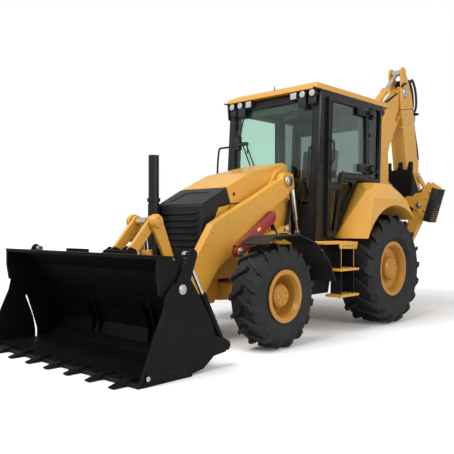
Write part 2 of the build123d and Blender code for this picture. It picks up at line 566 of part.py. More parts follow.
def loader_bucket():
    """The fixed back of the bucket: shell, side cheeks, top lip, hinge ears and link ears."""
    half = BUCKET_HALF - 25
    bucket = slab(-half, half, strip(BACK_LINE[::-1], JAW_SHELL))
    cheek = slab(half - 28, half, BACK_LINE + CHEEK_FRONT, [(*JAW_PIVOT, 60)])
    bucket += cheek + mirror(cheek, about=Plane.XZ)
    # Ears: (inner y, thickness, outline, discs, holes), on both sides
    hinge = [(3040, 300), (3100, 368), (3300, 440), (3420, 600), (3300, 250), (3300, 100), (3150, 215)]
    link = [(3262, 960), (3330, 985), (3560, 830), (3600, 850), (3430, 610), (3270, 860)]
    jaw = [(3060, 200), (3120, 240), (3300, 300), (3300, 110), (3120, 130)]
    for y, thick, line, disc, hole in (
            (ARM_IN - 24, 18, hinge, (*BUCKET_HINGE, 78), (*BUCKET_HINGE, 38 + RUNNING)),
            (ARM_OUT + 6, 18, hinge, (*BUCKET_HINGE, 78), (*BUCKET_HINGE, 38 + RUNNING)),
            (72, 20, link, (*LINK_EYE, 56), None), (148, 20, link, (*LINK_EYE, 56), None),
            (1066, 18, jaw, (*JAW_BASE, 40), None), (1156, 18, jaw, (*JAW_BASE, 40), None)):
        ear = slab(y, y + thick, line, [disc], [hole] if hole else [])
        bucket += ear + mirror(ear, about=Plane.XZ)
    for hand in (LEFT, RIGHT):
        bucket += bar_y(*JAW_BASE, 20, *sorted((hand * 1066, hand * 1174)))
    for y_low, y_high in ((-280, 30), (300, 580)):
        bucket += block(3690, 3730, y_low, y_high, 925, 975)
    keep("loader_bucket", bucket)


def bucket_jaw():
    """The bucket's opening jaw: side plates outside the fixed ones, floor, edge and teeth."""
    inner = BUCKET_HALF - 20
    cheek = slab(inner, BUCKET_HALF, JAW_SIDE, [(*JAW_PIVOT, 75)])
    cheek += slab(inner, BUCKET_HALF, [(3590, 640), (3478, 936), (3562, 972), (3700, 735)], [(*JAW_EYE, 46)])
    cheek += bar_y(*JAW_EYE, 24, 1150, inner + 2)
    jaw = cheek + mirror(cheek, about=Plane.XZ)
    jaw += slab(-BUCKET_HALF, BUCKET_HALF, [(3530, 0), (3530, 24), (3900, 30), (4055, 31), (4078, 10),
                                            (4060, 0)])
    for y in (-1050, -750, -450, -150, 150, 450, 750, 1050):
        jaw += slab(y - 36, y + 36, [(3960, 4), (3960, 46), (4060, 50), (4199, 14), (4199, 4)])
    keep("bucket_jaw", jaw)


def jaw_cylinders():
    limits = reach(JAW_BASE, JAW_EYE, JAW_PIVOT, JAW_RANGE)
    barrel, rod = cylinder(JAW_BASE, JAW_EYE, limits, 30, 18, 56, 44, 20, 30)
    keep("jaw_barrels", *at_y(1120, barrel), *at_y(-1120, barrel))
    keep("jaw_rods", *at_y(1120, rod), *at_y(-1120, rod))


# ---- backhoe ----
SWING_EARS = ((560, 630), (1215, 1285))


def backhoe_frame():
    """The rear frame: two plates across the machine that hold the legs, and the swing ears."""
    line = [(-525, 450), (-560, 640), (-330, 1100), (-230, 1600), (230, 1600), (330, 1100), (560, 640),
            (525, 450)]
    frame = cross_slab(LEG_X + 57, LEG_X + 82, line) + cross_slab(LEG_X - 82, LEG_X - 57, line)
    frame += block(LEG_X - 60, LEG_X + 60, -50, 50, 450, 1600)
    frame += block(LEG_X - 60, LEG_X + 60, -300, 300, 450, 474)
    for hand in (LEFT, RIGHT):
        frame += bar_x(hand * LEG_FOOT[0], LEG_FOOT[1], 29, LEG_X - 90, LEG_X + 60)
        frame += bar_x(hand * LEG_BASE[0], LEG_BASE[1], 24, LEG_X - 90, LEG_X + 60)
    for z_low, z_high in SWING_EARS:
        frame += floor_slab(z_low, z_high, [(LEG_X - 80, -230), (LEG_X - 80, 230), (SWING_X + 92, 88),
                                            (SWING_X, 85), (SWING_X, -85), (SWING_X + 92, -88)])
        frame += Pos(SWING_X, 0, (z_low + z_high) / 2) * Cylinder(85, z_high - z_low)
    keep("backhoe_frame", frame - Pos(SWING_X, 0, 900) * Cylinder(50 + RUNNING, 900))


def swing_casting():
    """The turning post that carries the boom's foot and the boom cylinder."""
    low, high = SWING_EARS[0][1] + 7, SWING_EARS[1][0] - 7
    casting = Pos(SWING_X, 0, (low + 1020) / 2) * Cylinder(95, 1020 - low)
    casting += Pos(SWING_X, 0, (low + high) / 2) * Cylinder(50, high - low + 150)
    cheek = slab(92, 132, [(-1480, low), (-1480, high), (-1640, high), (-1742, 1160), (-1770, 760),
                           (-1890, 600), (-1860, 500), (-1720, 560), (-1700, low)],
                 [(*BOOM_FOOT, 86), (*BOOM_BASE, 62)])
    casting += cheek + mirror(cheek, about=Plane.XZ) + block(-1605, -1500, -95, 95, low, 1020)
    casting += block(-1556, -1480, -95, 95, 1010, high)
    casting += bar_y(*BOOM_FOOT, 42, -140, 140) + bar_y(*BOOM_BASE, 34, -132, 132)
    keep("swing_casting", casting)


BOOM_WIDE = [(-1700, 1300), (-1672, 1827), (-1673, 2136), (-1660, 2320), (-1724, 2450), (-1875, 2674),
             (-2030, 2896), (-2066, 2940), (-1964, 2785), (-1728, 2998), (-1661, 2978), (-1556, 2841),
             (-1453, 2685), (-1372, 2500), (-1345, 2330), (-1350, 2100), (-1400, 1750), (-1560, 1300)]
BOOM_NOSE = [(-1870, 2720), (-1985, 2900), (-2060, 3010), (-2302, 3247), (-2168, 3402), (-1746, 3073),
             (-1661, 2978), (-1600, 2800)]
BOOM_EYE_LUG = 58


def boom():
    """The bent boom: wide box, narrow foot and nose, and the ears of its two cylinders."""
    shape = slab(-115, 115, BOOM_WIDE)
    shape += slab(-85, 85, [(-1731, 1120), (-1706, 1330), (-1613, 1330), (-1613, 1190)], [(*BOOM_FOOT, 82)])
    shape += slab(-75, 75, BOOM_NOSE, [(*STICK_PIVOT, 95)])
    for y in (64, -90):
        shape += slab(y, y + 26, [(-1400, 2400), (-1130, 2680), (-1080, 2770), (-1160, 2800), (-1440, 2690)],
                      [(*STICK_BASE, 60)])
        shape += slab(y - 16 if y > 0 else y + 16, y + 10 if y > 0 else y + 42,
                      [(-1660, 1680), (-1772, 1752), (-1800, 1860), (-1660, 1940)],
                      [(*BOOM_EYE, BOOM_EYE_LUG)])
    shape += bar_y(*STICK_BASE, 34, -90, 90)
    shape -= bar_y(*BOOM_FOOT, 42 + RUNNING, -200, 200)
    keep("boom", shape - bar_y(*STICK_PIVOT, 42 + RUNNING, -200, 200))


def boom_cylinder():
    limits = reach(BOOM_BASE, BOOM_EYE, BOOM_FOOT, BOOM_RANGE)
    barrel, rod = cylinder(BOOM_BASE, BOOM_EYE, limits, 52, 28, 168, 78, 34, BOOM_EYE_LUG)
    keep("boom_barrel", barrel)
    keep("boom_rod", rod)


def stick_at(down, front):
    """A point by its distance down the stick from the pivot and its offset to the stick's front."""
    return (STICK_PIVOT[0] + STICK_DIR[0] * down - STICK_DIR[1] * front,
            STICK_PIVOT[1] + STICK_DIR[1] * down + STICK_DIR[0] * front)


def stick_line(*points):
    return [stick_at(*point) for point in points]


SLEEVE_TOP, SLEEVE_END, BEAM_END = 274, 1500, 1440
SLEEVE_REAR, SLEEVE_FRONT, SLEEVE_HALF, SLEEVE_WALL = -222, 176, 115, 20


def stick():
    """The inner stick: two plates round the boom's nose, the cylinder's horn and the long beam."""
    plate_line = stick_line((-324, -78), (-130, -150), (60, SLEEVE_REAR), (262, SLEEVE_REAR),
                            (262, SLEEVE_FRONT), (150, 160), (0, 120), (-324, 78))
    plate = slab(84, SLEEVE_HALF, plate_line, [(*STICK_EYE, 78), (*STICK_PIVOT, 125)])
    shape = plate + mirror(plate, about=Plane.XZ)
    shape += slab(-86, 86, stick_line((165, SLEEVE_REAR), (165, -60), (262, 60), (262, SLEEVE_REAR)))
    gap = SLEEVE_WALL + GAP
    beam_half = SLEEVE_HALF - gap
    shape += slab(-beam_half, beam_half, stick_line(
        (240, SLEEVE_REAR + gap), (240, 40), (262, SLEEVE_FRONT - gap), (BEAM_END, SLEEVE_FRONT - gap),
        (BEAM_END, SLEEVE_REAR + gap)))
    keep("stick", shape + bar_y(*STICK_PIVOT, 42, -122, 122))


def stick_sleeve():
    """The sliding outer stick: a box round the beam, the hoe bucket's hinge and the rocker's pin."""
    shape = slab(-SLEEVE_HALF, SLEEVE_HALF, stick_line(
        (SLEEVE_TOP, SLEEVE_REAR), (SLEEVE_TOP, SLEEVE_FRONT), (SLEEVE_END, SLEEVE_FRONT + 4),
        (1545, 80), (1560, SLEEVE_REAR - 20)))
    cavity = SLEEVE_HALF - SLEEVE_WALL
    shape -= slab(-cavity, cavity, stick_line(
        (SLEEVE_TOP - 10, SLEEVE_REAR + SLEEVE_WALL), (SLEEVE_TOP - 10, SLEEVE_FRONT - SLEEVE_WALL),
        (BEAM_END + 20, SLEEVE_FRONT - SLEEVE_WALL), (BEAM_END + 20, SLEEVE_REAR + SLEEVE_WALL)))
    shape += slab(-75, 75, stick_line((1530, 90), (1610, 0), (1740, -220), (1640, -325), (1530, -230)),
                  [(*HOE_HINGE, 70)])
    shape += bar_y(*ROCKER_FOOT, 34, SLEEVE_HALF - 5, 150) + bar_y(*ROCKER_FOOT, 34, -150, 5 - SLEEVE_HALF)
    for y in (54, -76):
        shape += slab(y, y + 22, stick_line((340, SLEEVE_REAR + 8), (400, -340), (470, -345),
                                            (640, SLEEVE_REAR + 8)), [(*HOE_BASE, 50)])
    shape += bar_y(*HOE_BASE, 30, -76, 76)
    keep("stick_sleeve", shape - bar_y(*HOE_HINGE, 34 + RUNNING, -200, 200))


def stick_cylinder():
    limits = reach(STICK_BASE, STICK_EYE, STICK_PIVOT, STICK_RANGE)
    barrel, rod = cylinder(STICK_BASE, STICK_EYE, limits, 52, 30, 112, 140, 34, 78)
    keep("stick_barrel", barrel)
    keep("stick_rod", rod)


# The hoe bucket's curved shell, from the lip round its heel to the hinge.
HOE_LINE = [(-2062, 2050), (-2040, 1980), (-2034, 1700), (-2072, 1545), (-2180, 1425), (-2330, 1368),
            (-2560, 1370), (-2690, 1404)]
HOE_MOUTH = [(-2700, 1650), (-2367, 1672), (-2110, 2030)]
HOE_HALF = 300


def hoe_bucket():
    """The digging bucket: curved shell, side plates, ears and teeth."""
    bucket = slab(-HOE_HALF, HOE_HALF, strip(HOE_LINE, 18))
    cheek = slab(HOE_HALF - 20, HOE_HALF, HOE_LINE + HOE_MOUTH)
    bucket += cheek + mirror(cheek, about=Plane.XZ)
    bucket += slab(-HOE_HALF, HOE_HALF, [(-2110, 2030), (-2092, 2080), (-2056, 2080), (-2040, 1990),
                                         (-2058, 1985)])
    ear_line = [(-2560, 1371), (-2540, 1500), (-2735, 1776), (-2845, 1750), (-2926, 1510), (-2890, 1446),
                (-2690, 1404)]
    for y in (86, -112):
        bucket += slab(y, y + 26, ear_line, [(*HOE_HINGE, 66), (*HOE_LINK_EYE, 54)])
    bucket += bar_y(*HOE_HINGE, 34, -118, 118) + bar_y(*HOE_LINK_EYE, 28, -118, 118)
    # Teeth: (middle, half width)
    for y, half in ((-265, 35), (-97, 32), (97, 32), (265, 35)):
        bucket += slab(y - half, y + half, [(-2104, 2030), (-2050, 2010), (-2066, 2120), (-2100, 2205),
                                            (-2116, 2198), (-2120, 2110)])
    keep("hoe_bucket", bucket)


def hoe_linkage():
    """Rocker plates on the outer stick, the forked bucket link and the bucket cylinder."""
    rocker_line = [turned((ROCKER_FOOT[0], ROCKER_FOOT[1] + 44), ROCKER_FOOT, 36),
                   turned((ROCKER_TOP[0], ROCKER_TOP[1] + 40), ROCKER_TOP, 36),
                   turned((ROCKER_TOP[0], ROCKER_TOP[1] - 40), ROCKER_TOP, 36),
                   turned((ROCKER_FOOT[0], ROCKER_FOOT[1] - 44), ROCKER_FOOT, 36)]
    rocker = slab(122, 146, rocker_line, [(*ROCKER_FOOT, 54), (*ROCKER_TOP, 46)],
                  [(*ROCKER_FOOT, 34 + RUNNING)])
    keep("rocker_links", *both_sides(rocker))
    link = slab(-78, 78, [(ROCKER_TOP[0] - 38, ROCKER_TOP[1]), (HOE_LINK_EYE[0] - 42, HOE_LINK_EYE[1]),
                          (HOE_LINK_EYE[0] + 42, HOE_LINK_EYE[1]), (ROCKER_TOP[0] + 42, ROCKER_TOP[1])],
                [(*ROCKER_TOP, 44), (*HOE_LINK_EYE, 44)], [(*HOE_LINK_EYE, 28 + RUNNING)])
    # Stub pins on the fork's outer faces reach out towards the rocker plates.
    link += bar_y(*ROCKER_TOP, 28, -116, 116)
    keep("bucket_link", link - slab(-50, 50, (), [(*ROCKER_TOP, 150)]))
    limits = reach(HOE_BASE, ROCKER_TOP, ROCKER_FOOT, ROCKER_RANGE)
    barrel, rod = cylinder(HOE_BASE, ROCKER_TOP, limits, 42, 24, 96, 76, 30, 46)
    keep("hoe_barrel", barrel)
    keep("hoe_rod", rod)


# ---- stabilizers ----
def stabilizers():
    """Each leg with its pad, and its cylinder, drawn on the left and mirrored."""
    leg = cross_slab(LEG_X - 50, LEG_X + 50, [(392, 610), (480, 745), (560, 830), (590, 920), (606, 1010),
                                              (850, 1500), (960, 1450), (904, 1240),
                                              (785, 1001), (520, 560), (495, 530)],
                     [(*LEG_FOOT, 62), (*PAD_PIN, 60)], [(*LEG_FOOT, 29 + RUNNING)])
    horn_line = [(470, 800), (450, 930), (490, 980), (600, 1060), (640, 1000), (540, 800)]
    for x in (LEG_X - 50, LEG_X + 34):
        leg += cross_slab(x, x + 16, horn_line, [(*LEG_EYE, 46)])
    leg += bar_x(*PAD_PIN, 30, LEG_X - 84, LEG_X + 84)
    plate_line = [PAD_EAR, (860, 1640), (934, 1645), (1035, 1790), (1165, 1706), (1030, 1262), (968, 1262),
                  (880, 1400), (720, 1490)]
    pad = cross_slab(LEG_X - 96, LEG_X + 96, [(1102, 1710), (1198, 1680), (1064, 1236), (966, 1264)])
    for x in (LEG_X + 57, LEG_X - 75):
        pad += cross_slab(x, x + 18, plate_line, [(*PAD_EAR, 62)], [(*PAD_PIN, 30 + RUNNING)])
    limits = reach(LEG_BASE, LEG_EYE, LEG_FOOT, LEG_RANGE)
    barrel, rod = cylinder(LEG_BASE, LEG_EYE, limits, 36, 20, 96, 50, 24, 46)
    # The cylinder is drawn along the machine, so it is turned to lie across it.
    across = Pos(LEG_X, 0, 0) * Rot(0, 0, 90)
    for hand, word in ((LEFT, "left"), (RIGHT, "right")):
        for name, piece in (("leg", leg), ("pad", pad), ("leg_barrel", across * barrel),
                            ("leg_rod", across * rod)):
            keep(f"{word}_{name}", piece if hand == LEFT else mirror(piece, about=Plane.XZ))


os.makedirs("parts", exist_ok=True)
for make in (wheels, main_frame, steering_rod, knuckles, engine_block, mudguards, tanks_and_steps,
             rear_fenders, cab_frame, cab_roof, cab_glass, door, operator_station, hood, grille,
             exhaust_stack, loader_arms, lift_cylinders, tilt_linkage, loader_bucket, bucket_jaw,
             jaw_cylinders, backhoe_frame, swing_casting, boom, boom_cylinder, stick, stick_sleeve,
             stick_cylinder, hoe_bucket, hoe_linkage, stabilizers):
    make()
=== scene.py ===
import math

import bmesh
import bpy
from mathutils import Matrix, Vector


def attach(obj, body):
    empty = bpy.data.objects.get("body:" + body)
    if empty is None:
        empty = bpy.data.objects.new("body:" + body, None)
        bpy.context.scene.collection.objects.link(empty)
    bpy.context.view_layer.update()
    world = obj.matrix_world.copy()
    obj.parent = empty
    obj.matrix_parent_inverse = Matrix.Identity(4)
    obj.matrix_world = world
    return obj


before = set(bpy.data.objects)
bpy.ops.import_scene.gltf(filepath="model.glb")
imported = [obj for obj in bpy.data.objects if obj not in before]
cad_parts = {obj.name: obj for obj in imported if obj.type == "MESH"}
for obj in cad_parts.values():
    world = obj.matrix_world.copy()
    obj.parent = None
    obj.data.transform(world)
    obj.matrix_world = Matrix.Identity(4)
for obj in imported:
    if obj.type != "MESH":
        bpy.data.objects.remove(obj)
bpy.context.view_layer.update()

# Places below are in millimetres from the ground under the rear axle, as the parts are drawn:
# x to the nose, y to the machine's left, z up. at() gives the same place in the frame's metres.
REAR_AXLE_X = -596.5
LEFT, RIGHT = 1, -1


def at(x, y, z):
    return Vector(((x + REAR_AXLE_X) / 1000, y / 1000, z / 1000))


# ---- finishes ----
class Finish:
    """A material under construction: its nodes, its links and its one shader."""

    def __init__(self, name, colour, roughness, metallic=0.0):
        self.material = bpy.data.materials.new(name)
        self.material.use_nodes = True
        self.nodes, self.links = self.material.node_tree.nodes, self.material.node_tree.links
        self.shader = self.nodes["Principled BSDF"]
        self.shader.inputs["Base Color"].default_value = (*colour, 1)
        self.shader.inputs["Roughness"].default_value = roughness
        self.shader.inputs["Metallic"].default_value = metallic
        self.place = self.nodes.new("ShaderNodeTexCoord").outputs["Object"]

    def noise(self, scale, detail=3.0, rough=0.5):
        node = self.nodes.new("ShaderNodeTexNoise")
        node.inputs["Scale"].default_value = scale
        node.inputs["Detail"].default_value = detail
        node.inputs["Roughness"].default_value = rough
        self.links.new(self.place, node.inputs["Vector"])
        return node.outputs["Fac"]

    def ramp(self, source, *stops):
        """Colours by the value of the source: stops are (value, colour)."""
        node = self.nodes.new("ShaderNodeValToRGB")
        while len(node.color_ramp.elements) < len(stops):
            node.color_ramp.elements.new(0.5)
        for element, (value, colour) in zip(node.color_ramp.elements, stops):
            element.position = value
            element.color = (*colour, 1)
        self.links.new(source, node.inputs["Fac"])
        return node.outputs["Color"]

    def colour_from(self, source):
        self.links.new(source, self.shader.inputs["Base Color"])

    def spread(self, source, low, high):
        """The source's 0.3 to 0.7 spread over low to high."""
        node = self.nodes.new("ShaderNodeMapRange")
        node.inputs["From Min"].default_value, node.inputs["From Max"].default_value = 0.3, 0.7
        node.inputs["To Min"].default_value, node.inputs["To Max"].default_value = low, high
        self.links.new(source, node.inputs["Value"])
        return node.outputs["Result"]

    def roughness_from(self, source, low, high):
        self.links.new(self.spread(source, low, high), self.shader.inputs["Roughness"])

    def bump_from(self, source, depth_mm, strength=1.0):
        node = self.nodes.new("ShaderNodeBump")
        node.inputs["Strength"].default_value = strength
        node.inputs["Distance"].default_value = depth_mm / 1000
        self.links.new(source, node.inputs["Height"])
        self.links.new(node.outputs["Normal"], self.shader.inputs["Normal"])


def painted(name, colour, roughness, shift=0.05, coat=0.25, peel=0.25, shine=0.5):
    """Sprayed paint: a little uneven in colour and gloss, with orange peel."""
    made = Finish(name, colour, roughness)
    cloud = made.noise(2.3, 4)
    low = tuple(c * (1 - shift) for c in colour)
    high = tuple(min(1, c * (1 + shift)) for c in colour)
    made.colour_from(made.ramp(cloud, (0.3, low), (0.7, high)))
    made.roughness_from(made.noise(11, 4, 0.6), roughness * 0.85, roughness * 1.2)
    made.bump_from(made.noise(190, 2), peel)
    made.shader.inputs["Specular IOR Level"].default_value = shine
    made.shader.inputs["Coat Weight"].default_value = coat
    made.shader.inputs["Coat Roughness"].default_value = 0.16
    return made.material


def rubber(name, colour, grain, depth_mm, roughness=0.72):
    made = Finish(name, colour, roughness)
    dust = tuple(c * 1.5 + 0.004 for c in colour)
    made.colour_from(made.ramp(made.noise(7, 5, 0.65), (0.35, colour), (0.75, dust)))
    made.roughness_from(made.noise(23, 3), roughness * 0.9, roughness * 1.12)
    made.bump_from(made.noise(grain, 4, 0.7), depth_mm)
    made.shader.inputs["Specular IOR Level"].default_value = 0.3
    return made.material


def bare_metal(name, colour, roughness, scratch_mm=0.03):
    made = Finish(name, colour, roughness, metallic=1.0)
    worn = tuple(c * 0.82 for c in colour)
    made.colour_from(made.ramp(made.noise(16, 4), (0.35, worn), (0.65, colour)))
    made.roughness_from(made.noise(60, 3), roughness * 0.8, roughness * 1.4)
    made.bump_from(made.noise(240, 2), scratch_mm)
    return made.material


def clear(name, colour, roughness=0.02, through=1.0):
    made = Finish(name, colour, roughness)
    made.roughness_from(made.noise(5, 3), roughness, roughness + 0.03)
    made.shader.inputs["Transmission Weight"].default_value = through
    made.shader.inputs["IOR"].default_value = 1.45
    return made.material


def woven(name, colour):
    """Seat cloth: two crossed sets of threads."""
    made = Finish(name, colour, 0.9)
    waves = []
    for way in ("X", "Z"):
        node = made.nodes.new("ShaderNodeTexWave")
        node.bands_direction = way
        node.inputs["Scale"].default_value = 90
        node.inputs["Distortion"].default_value = 0.6
        made.links.new(made.place, node.inputs["Vector"])
        waves.append(node.outputs["Fac"])
    both = made.nodes.new("ShaderNodeMath")
    both.operation = "MULTIPLY"
    made.links.new(waves[0], both.inputs[0])
    made.links.new(waves[1], both.inputs[1])
    light = tuple(c * 1.9 + 0.01 for c in colour)
    made.colour_from(made.ramp(both.outputs[0], (0.1, colour), (0.9, light)))
    made.bump_from(both.outputs[0], 0.8)
    made.shader.inputs["Sheen Weight"].default_value = 0.3
    return made.material


YELLOW = painted("machine_yellow", (0.66, 0.33, 0.042), 0.38)
# The rims take the machine's yellow made darker: painted shade for the shade that lies on the wheels.
SHADED_RIM_YELLOW = painted("rim_yellow_painted_shade", (0.46, 0.21, 0.022), 0.42)
BLACK = painted("satin_black", (0.008, 0.008, 0.009), 0.46, shift=0.2, coat=0.04, shine=0.3)
BUCKET_BLACK = painted("bucket_black", (0.003, 0.003, 0.0033), 0.5,
                       shift=0.25, coat=0.0, peel=0.5, shine=0.16)
CAB_BLACK = painted("cab_black", (0.008, 0.0085, 0.009), 0.36, shift=0.15, coat=0.06, shine=0.35)
BRACE_RED = painted("brace_red", (0.33, 0.018, 0.03), 0.4)
PLASTIC = rubber("moulded_plastic", (0.016, 0.016, 0.017), 420, 0.4, 0.55)
TYRE_RUBBER = rubber("tyre_rubber", (0.0135, 0.0135, 0.0138), 120, 0.8)
HOSE_RUBBER = rubber("hose_rubber", (0.010, 0.010, 0.010), 300, 0.3, 0.5)
SEAL_RUBBER = rubber("seal_rubber", (0.008, 0.008, 0.008), 250, 0.3, 0.6)
TRIM_GREY = rubber("interior_grey", (0.055, 0.058, 0.058), 260, 0.4, 0.7)
LINING_GREY = rubber("lining_grey", (0.10, 0.10, 0.097), 200, 0.3, 0.7)
CHROME = bare_metal("rod_chrome", (0.80, 0.80, 0.81), 0.12, 0.0)
STEEL = bare_metal("bright_steel", (0.62, 0.62, 0.61), 0.3)
DARK_STEEL = bare_metal("dark_steel", (0.16, 0.155, 0.15), 0.45)
GLASS = clear("tinted_glass", (0.66, 0.86, 0.77))
SMOKED_GLASS = clear("smoked_glass", (0.20, 0.23, 0.22))
LENS = clear("lamp_lens", (0.93, 0.93, 0.92), 0.12, 0.55)
CLOTH = woven("seat_cloth", (0.018, 0.019, 0.021))
LABEL = painted("blank_label", (0.80, 0.62, 0.10), 0.5)
PALE_LABEL = painted("blank_pale_label", (0.7, 0.7, 0.68), 0.5)


# ---- building blocks ----
def drum(bm, start, end, radius, end_radius=None, sides=24):
    """A round bar between two places, in millimetres."""
    a, b = at(*start), at(*end)
    turn = (b - a).to_track_quat("Z", "Y").to_matrix().to_4x4()
    return bmesh.ops.create_cone(
        bm, cap_ends=True, segments=sides, radius1=radius / 1000,
        radius2=(radius if end_radius is None else end_radius) / 1000,
        depth=(b - a).length, matrix=Matrix.Translation((a + b) / 2) @ turn)["verts"]


def brick(bm, low, high):
    """A box between two opposite corners, in millimetres."""
    a, b = at(*low), at(*high)
    size = Matrix.Diagonal((*(b - a), 1))
    return bmesh.ops.create_cube(bm, size=1, matrix=Matrix.Translation((a + b) / 2) @ size)["verts"]


def plate(bm, corners, step):
    """A flat outline of places in millimetres, drawn out by step."""
    face = bm.faces.new([bm.verts.new(at(*corner)) for corner in corners])
    out = bmesh.ops.extrude_face_region(bm, geom=[face])["geom"]
    bmesh.ops.translate(bm, verts=[v for v in out if isinstance(v, bmesh.types.BMVert)],
                        vec=Vector(step) / 1000)


def bolt(bm, place, way, size=14):
    """A washer and a six-sided head that stands out of a face along way."""
    place, way = Vector(place), Vector(way).normalized()
    drum(bm, place - way * 2, place + way * size * 0.22, size * 1.35, sides=14)
    drum(bm, place, place + way * size * 0.95, size, size * 0.94, sides=6)


def pin_cap(bm, place, way, radius):
    """A round pin's end: a collar and a domed middle."""
    place, way = Vector(place), Vector(way).normalized()
    drum(bm, place - way * 2, place + way * 9, radius, radius * 0.97, 28)
    drum(bm, place + way * 9, place + way * 15, radius * 0.62, radius * 0.5, 24)


def piece(name, body, finish, bm, edge=0.0):
    """Finishes a bmesh as one piece that rides on a body; edge rounds its sharp edges, in millimetres."""
    bmesh.ops.recalc_face_normals(bm, faces=bm.faces)
    if edge:
        sharp = [e for e in bm.edges if len(e.link_faces) == 2 and e.calc_face_angle() > math.radians(30)]
        bmesh.ops.bevel(bm, geom=sharp, offset=edge / 1000, offset_type="OFFSET", affect="EDGES",
                        segments=2, profile=0.5, material=-1, clamp_overlap=True)
    mesh = bpy.data.meshes.new(name)
    bm.to_mesh(mesh)
    bm.free()
    mesh.materials.append(finish)
    mesh.shade_smooth()
    mesh.set_sharp_from_angle(angle=math.radians(32))
    made = bpy.data.objects.new(name, mesh)
    bpy.context.scene.collection.objects.link(made)
    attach(made, body)
    return made


def build(name, body, finish, make, edge=0.0):
    bm = bmesh.new()
    make(bm)
    return piece(name, body, finish, bm, edge)


def line(name, body, finish, points, radius, closed=False, smooth=True):
    """A hose, rail or seal along places in millimetres."""
    curve = bpy.data.curves.new(name, "CURVE")
    curve.dimensions = "3D"
    curve.bevel_depth = radius / 1000
    curve.bevel_resolution = 3
    curve.use_fill_caps = not closed
    spline = curve.splines.new("NURBS" if smooth else "POLY")
    spline.points.add(len(points) - 1)
    for point, place in zip(spline.points, points):
        point.co = (*at(*place), 1)
    if smooth:
        spline.order_u = 3
        spline.use_endpoint_u = not closed
        spline.resolution_u = 6
    spline.use_cyclic_u = closed
    made = bpy.data.objects.new(name, curve)
    bpy.context.scene.collection.objects.link(made)
    made.data.materials.append(finish)
    shape = bpy.data.meshes.new_from_object(made.evaluated_get(bpy.context.evaluated_depsgraph_get()))
    shape.name = name
    solid = bpy.data.objects.new(name + "_line", shape)
    bpy.data.objects.remove(made)
    bpy.context.scene.collection.objects.link(solid)
    shape.shade_smooth()
    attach(solid, body)
    return solid


def paint(finish, *names):
    for name in names:
        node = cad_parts[name]
        for slot in node.material_slots:
            slot.material = finish


def paint_where(finish, name, test):
    """Paints the faces of a piece whose middle passes the test of (x, y, z, upward)."""
    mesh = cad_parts[name].data
    mesh.materials.append(finish)
    for polygon in mesh.polygons:
        x, y, z = polygon.center * 1000
        if test(x - REAR_AXLE_X, y, z, polygon.normal.z):
            polygon.material_index = len(mesh.materials) - 1


def soften(width, *names):
    """Rounds the edges of CAD pieces, after their flat faces are made whole."""
    for name in names:
        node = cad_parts[name]
        weld = node.modifiers.new("weld", "WELD")
        weld.merge_threshold = 0.00002
        whole = node.modifiers.new("whole", "DECIMATE")
        whole.decimate_type = "DISSOLVE"
        whole.angle_limit = math.radians(0.6)
        edge = node.modifiers.new("edge", "BEVEL")
        edge.width = width / 1000
        edge.segments = 2
        edge.limit_method = "ANGLE"
        edge.angle_limit = math.radians(32)
        edge.use_clamp_overlap = False
        edge.harden_normals = True


# ---- finishes of the carried-over pieces ----
def cad_finishes():
    paint(YELLOW, "main_frame", "backhoe_frame", "rear_fenders", "cab_roof", "steps", "hood",
          "loader_arms", "tilt_levers", "bucket_links", "lift_barrels", "tilt_barrel",
          "swing_casting", "boom", "stick", "stick_sleeve", "boom_barrel", "stick_barrel", "hoe_barrel",
          "rocker_links", "bucket_link", "left_leg", "right_leg", "left_pad", "right_pad",
          "left_leg_barrel", "right_leg_barrel", "left_knuckle", "right_knuckle")
    paint(BLACK, "grille", "exhaust_stack", "front_mudguards", "side_tanks")
    paint(BUCKET_BLACK, "loader_bucket", "bucket_jaw", "jaw_barrels", "hoe_bucket")
    paint(CAB_BLACK, "cab_frame", "door_frame")
    paint(DARK_STEEL, "engine_block")
    paint(GLASS, "cab_glass", "door_glass")
    paint_where(SMOKED_GLASS, "cab_glass",
                lambda x, y, z, up: x - 0.03 * z < -360 or (x < -30 and abs(y) > 650))
    # The plates that carry the treads are black, and the treads yellow.
    paint_where(BLACK, "steps",
                lambda x, y, z, up: (799 < x < 813 or 1057 < x < 1071) and z < 983 and up < 0.5)
    paint(TRIM_GREY, "operator_station")
    paint(CHROME, "lift_rods", "tilt_rod", "jaw_rods", "boom_rod", "stick_rod", "hoe_rod", "left_leg_rod",
          "right_leg_rod", "steering_rod")
    for end in ("front", "rear"):
        for hand in ("left", "right"):
            paint(TYRE_RUBBER, f"{end}_{hand}_tyre")
            # Rims in the darker yellow, painted shade.
            paint(SHADED_RIM_YELLOW, f"{end}_{hand}_rim")


# ---- wheels ----
def ring_of_bolts(bm, x, y, z, hand, radius, count, size):
    for i in range(count):
        angle = 2 * math.pi * (i + 0.5) / count
        bolt(bm, (x + radius * math.cos(angle), y, z + radius * math.sin(angle)), (0, hand, 0), size)


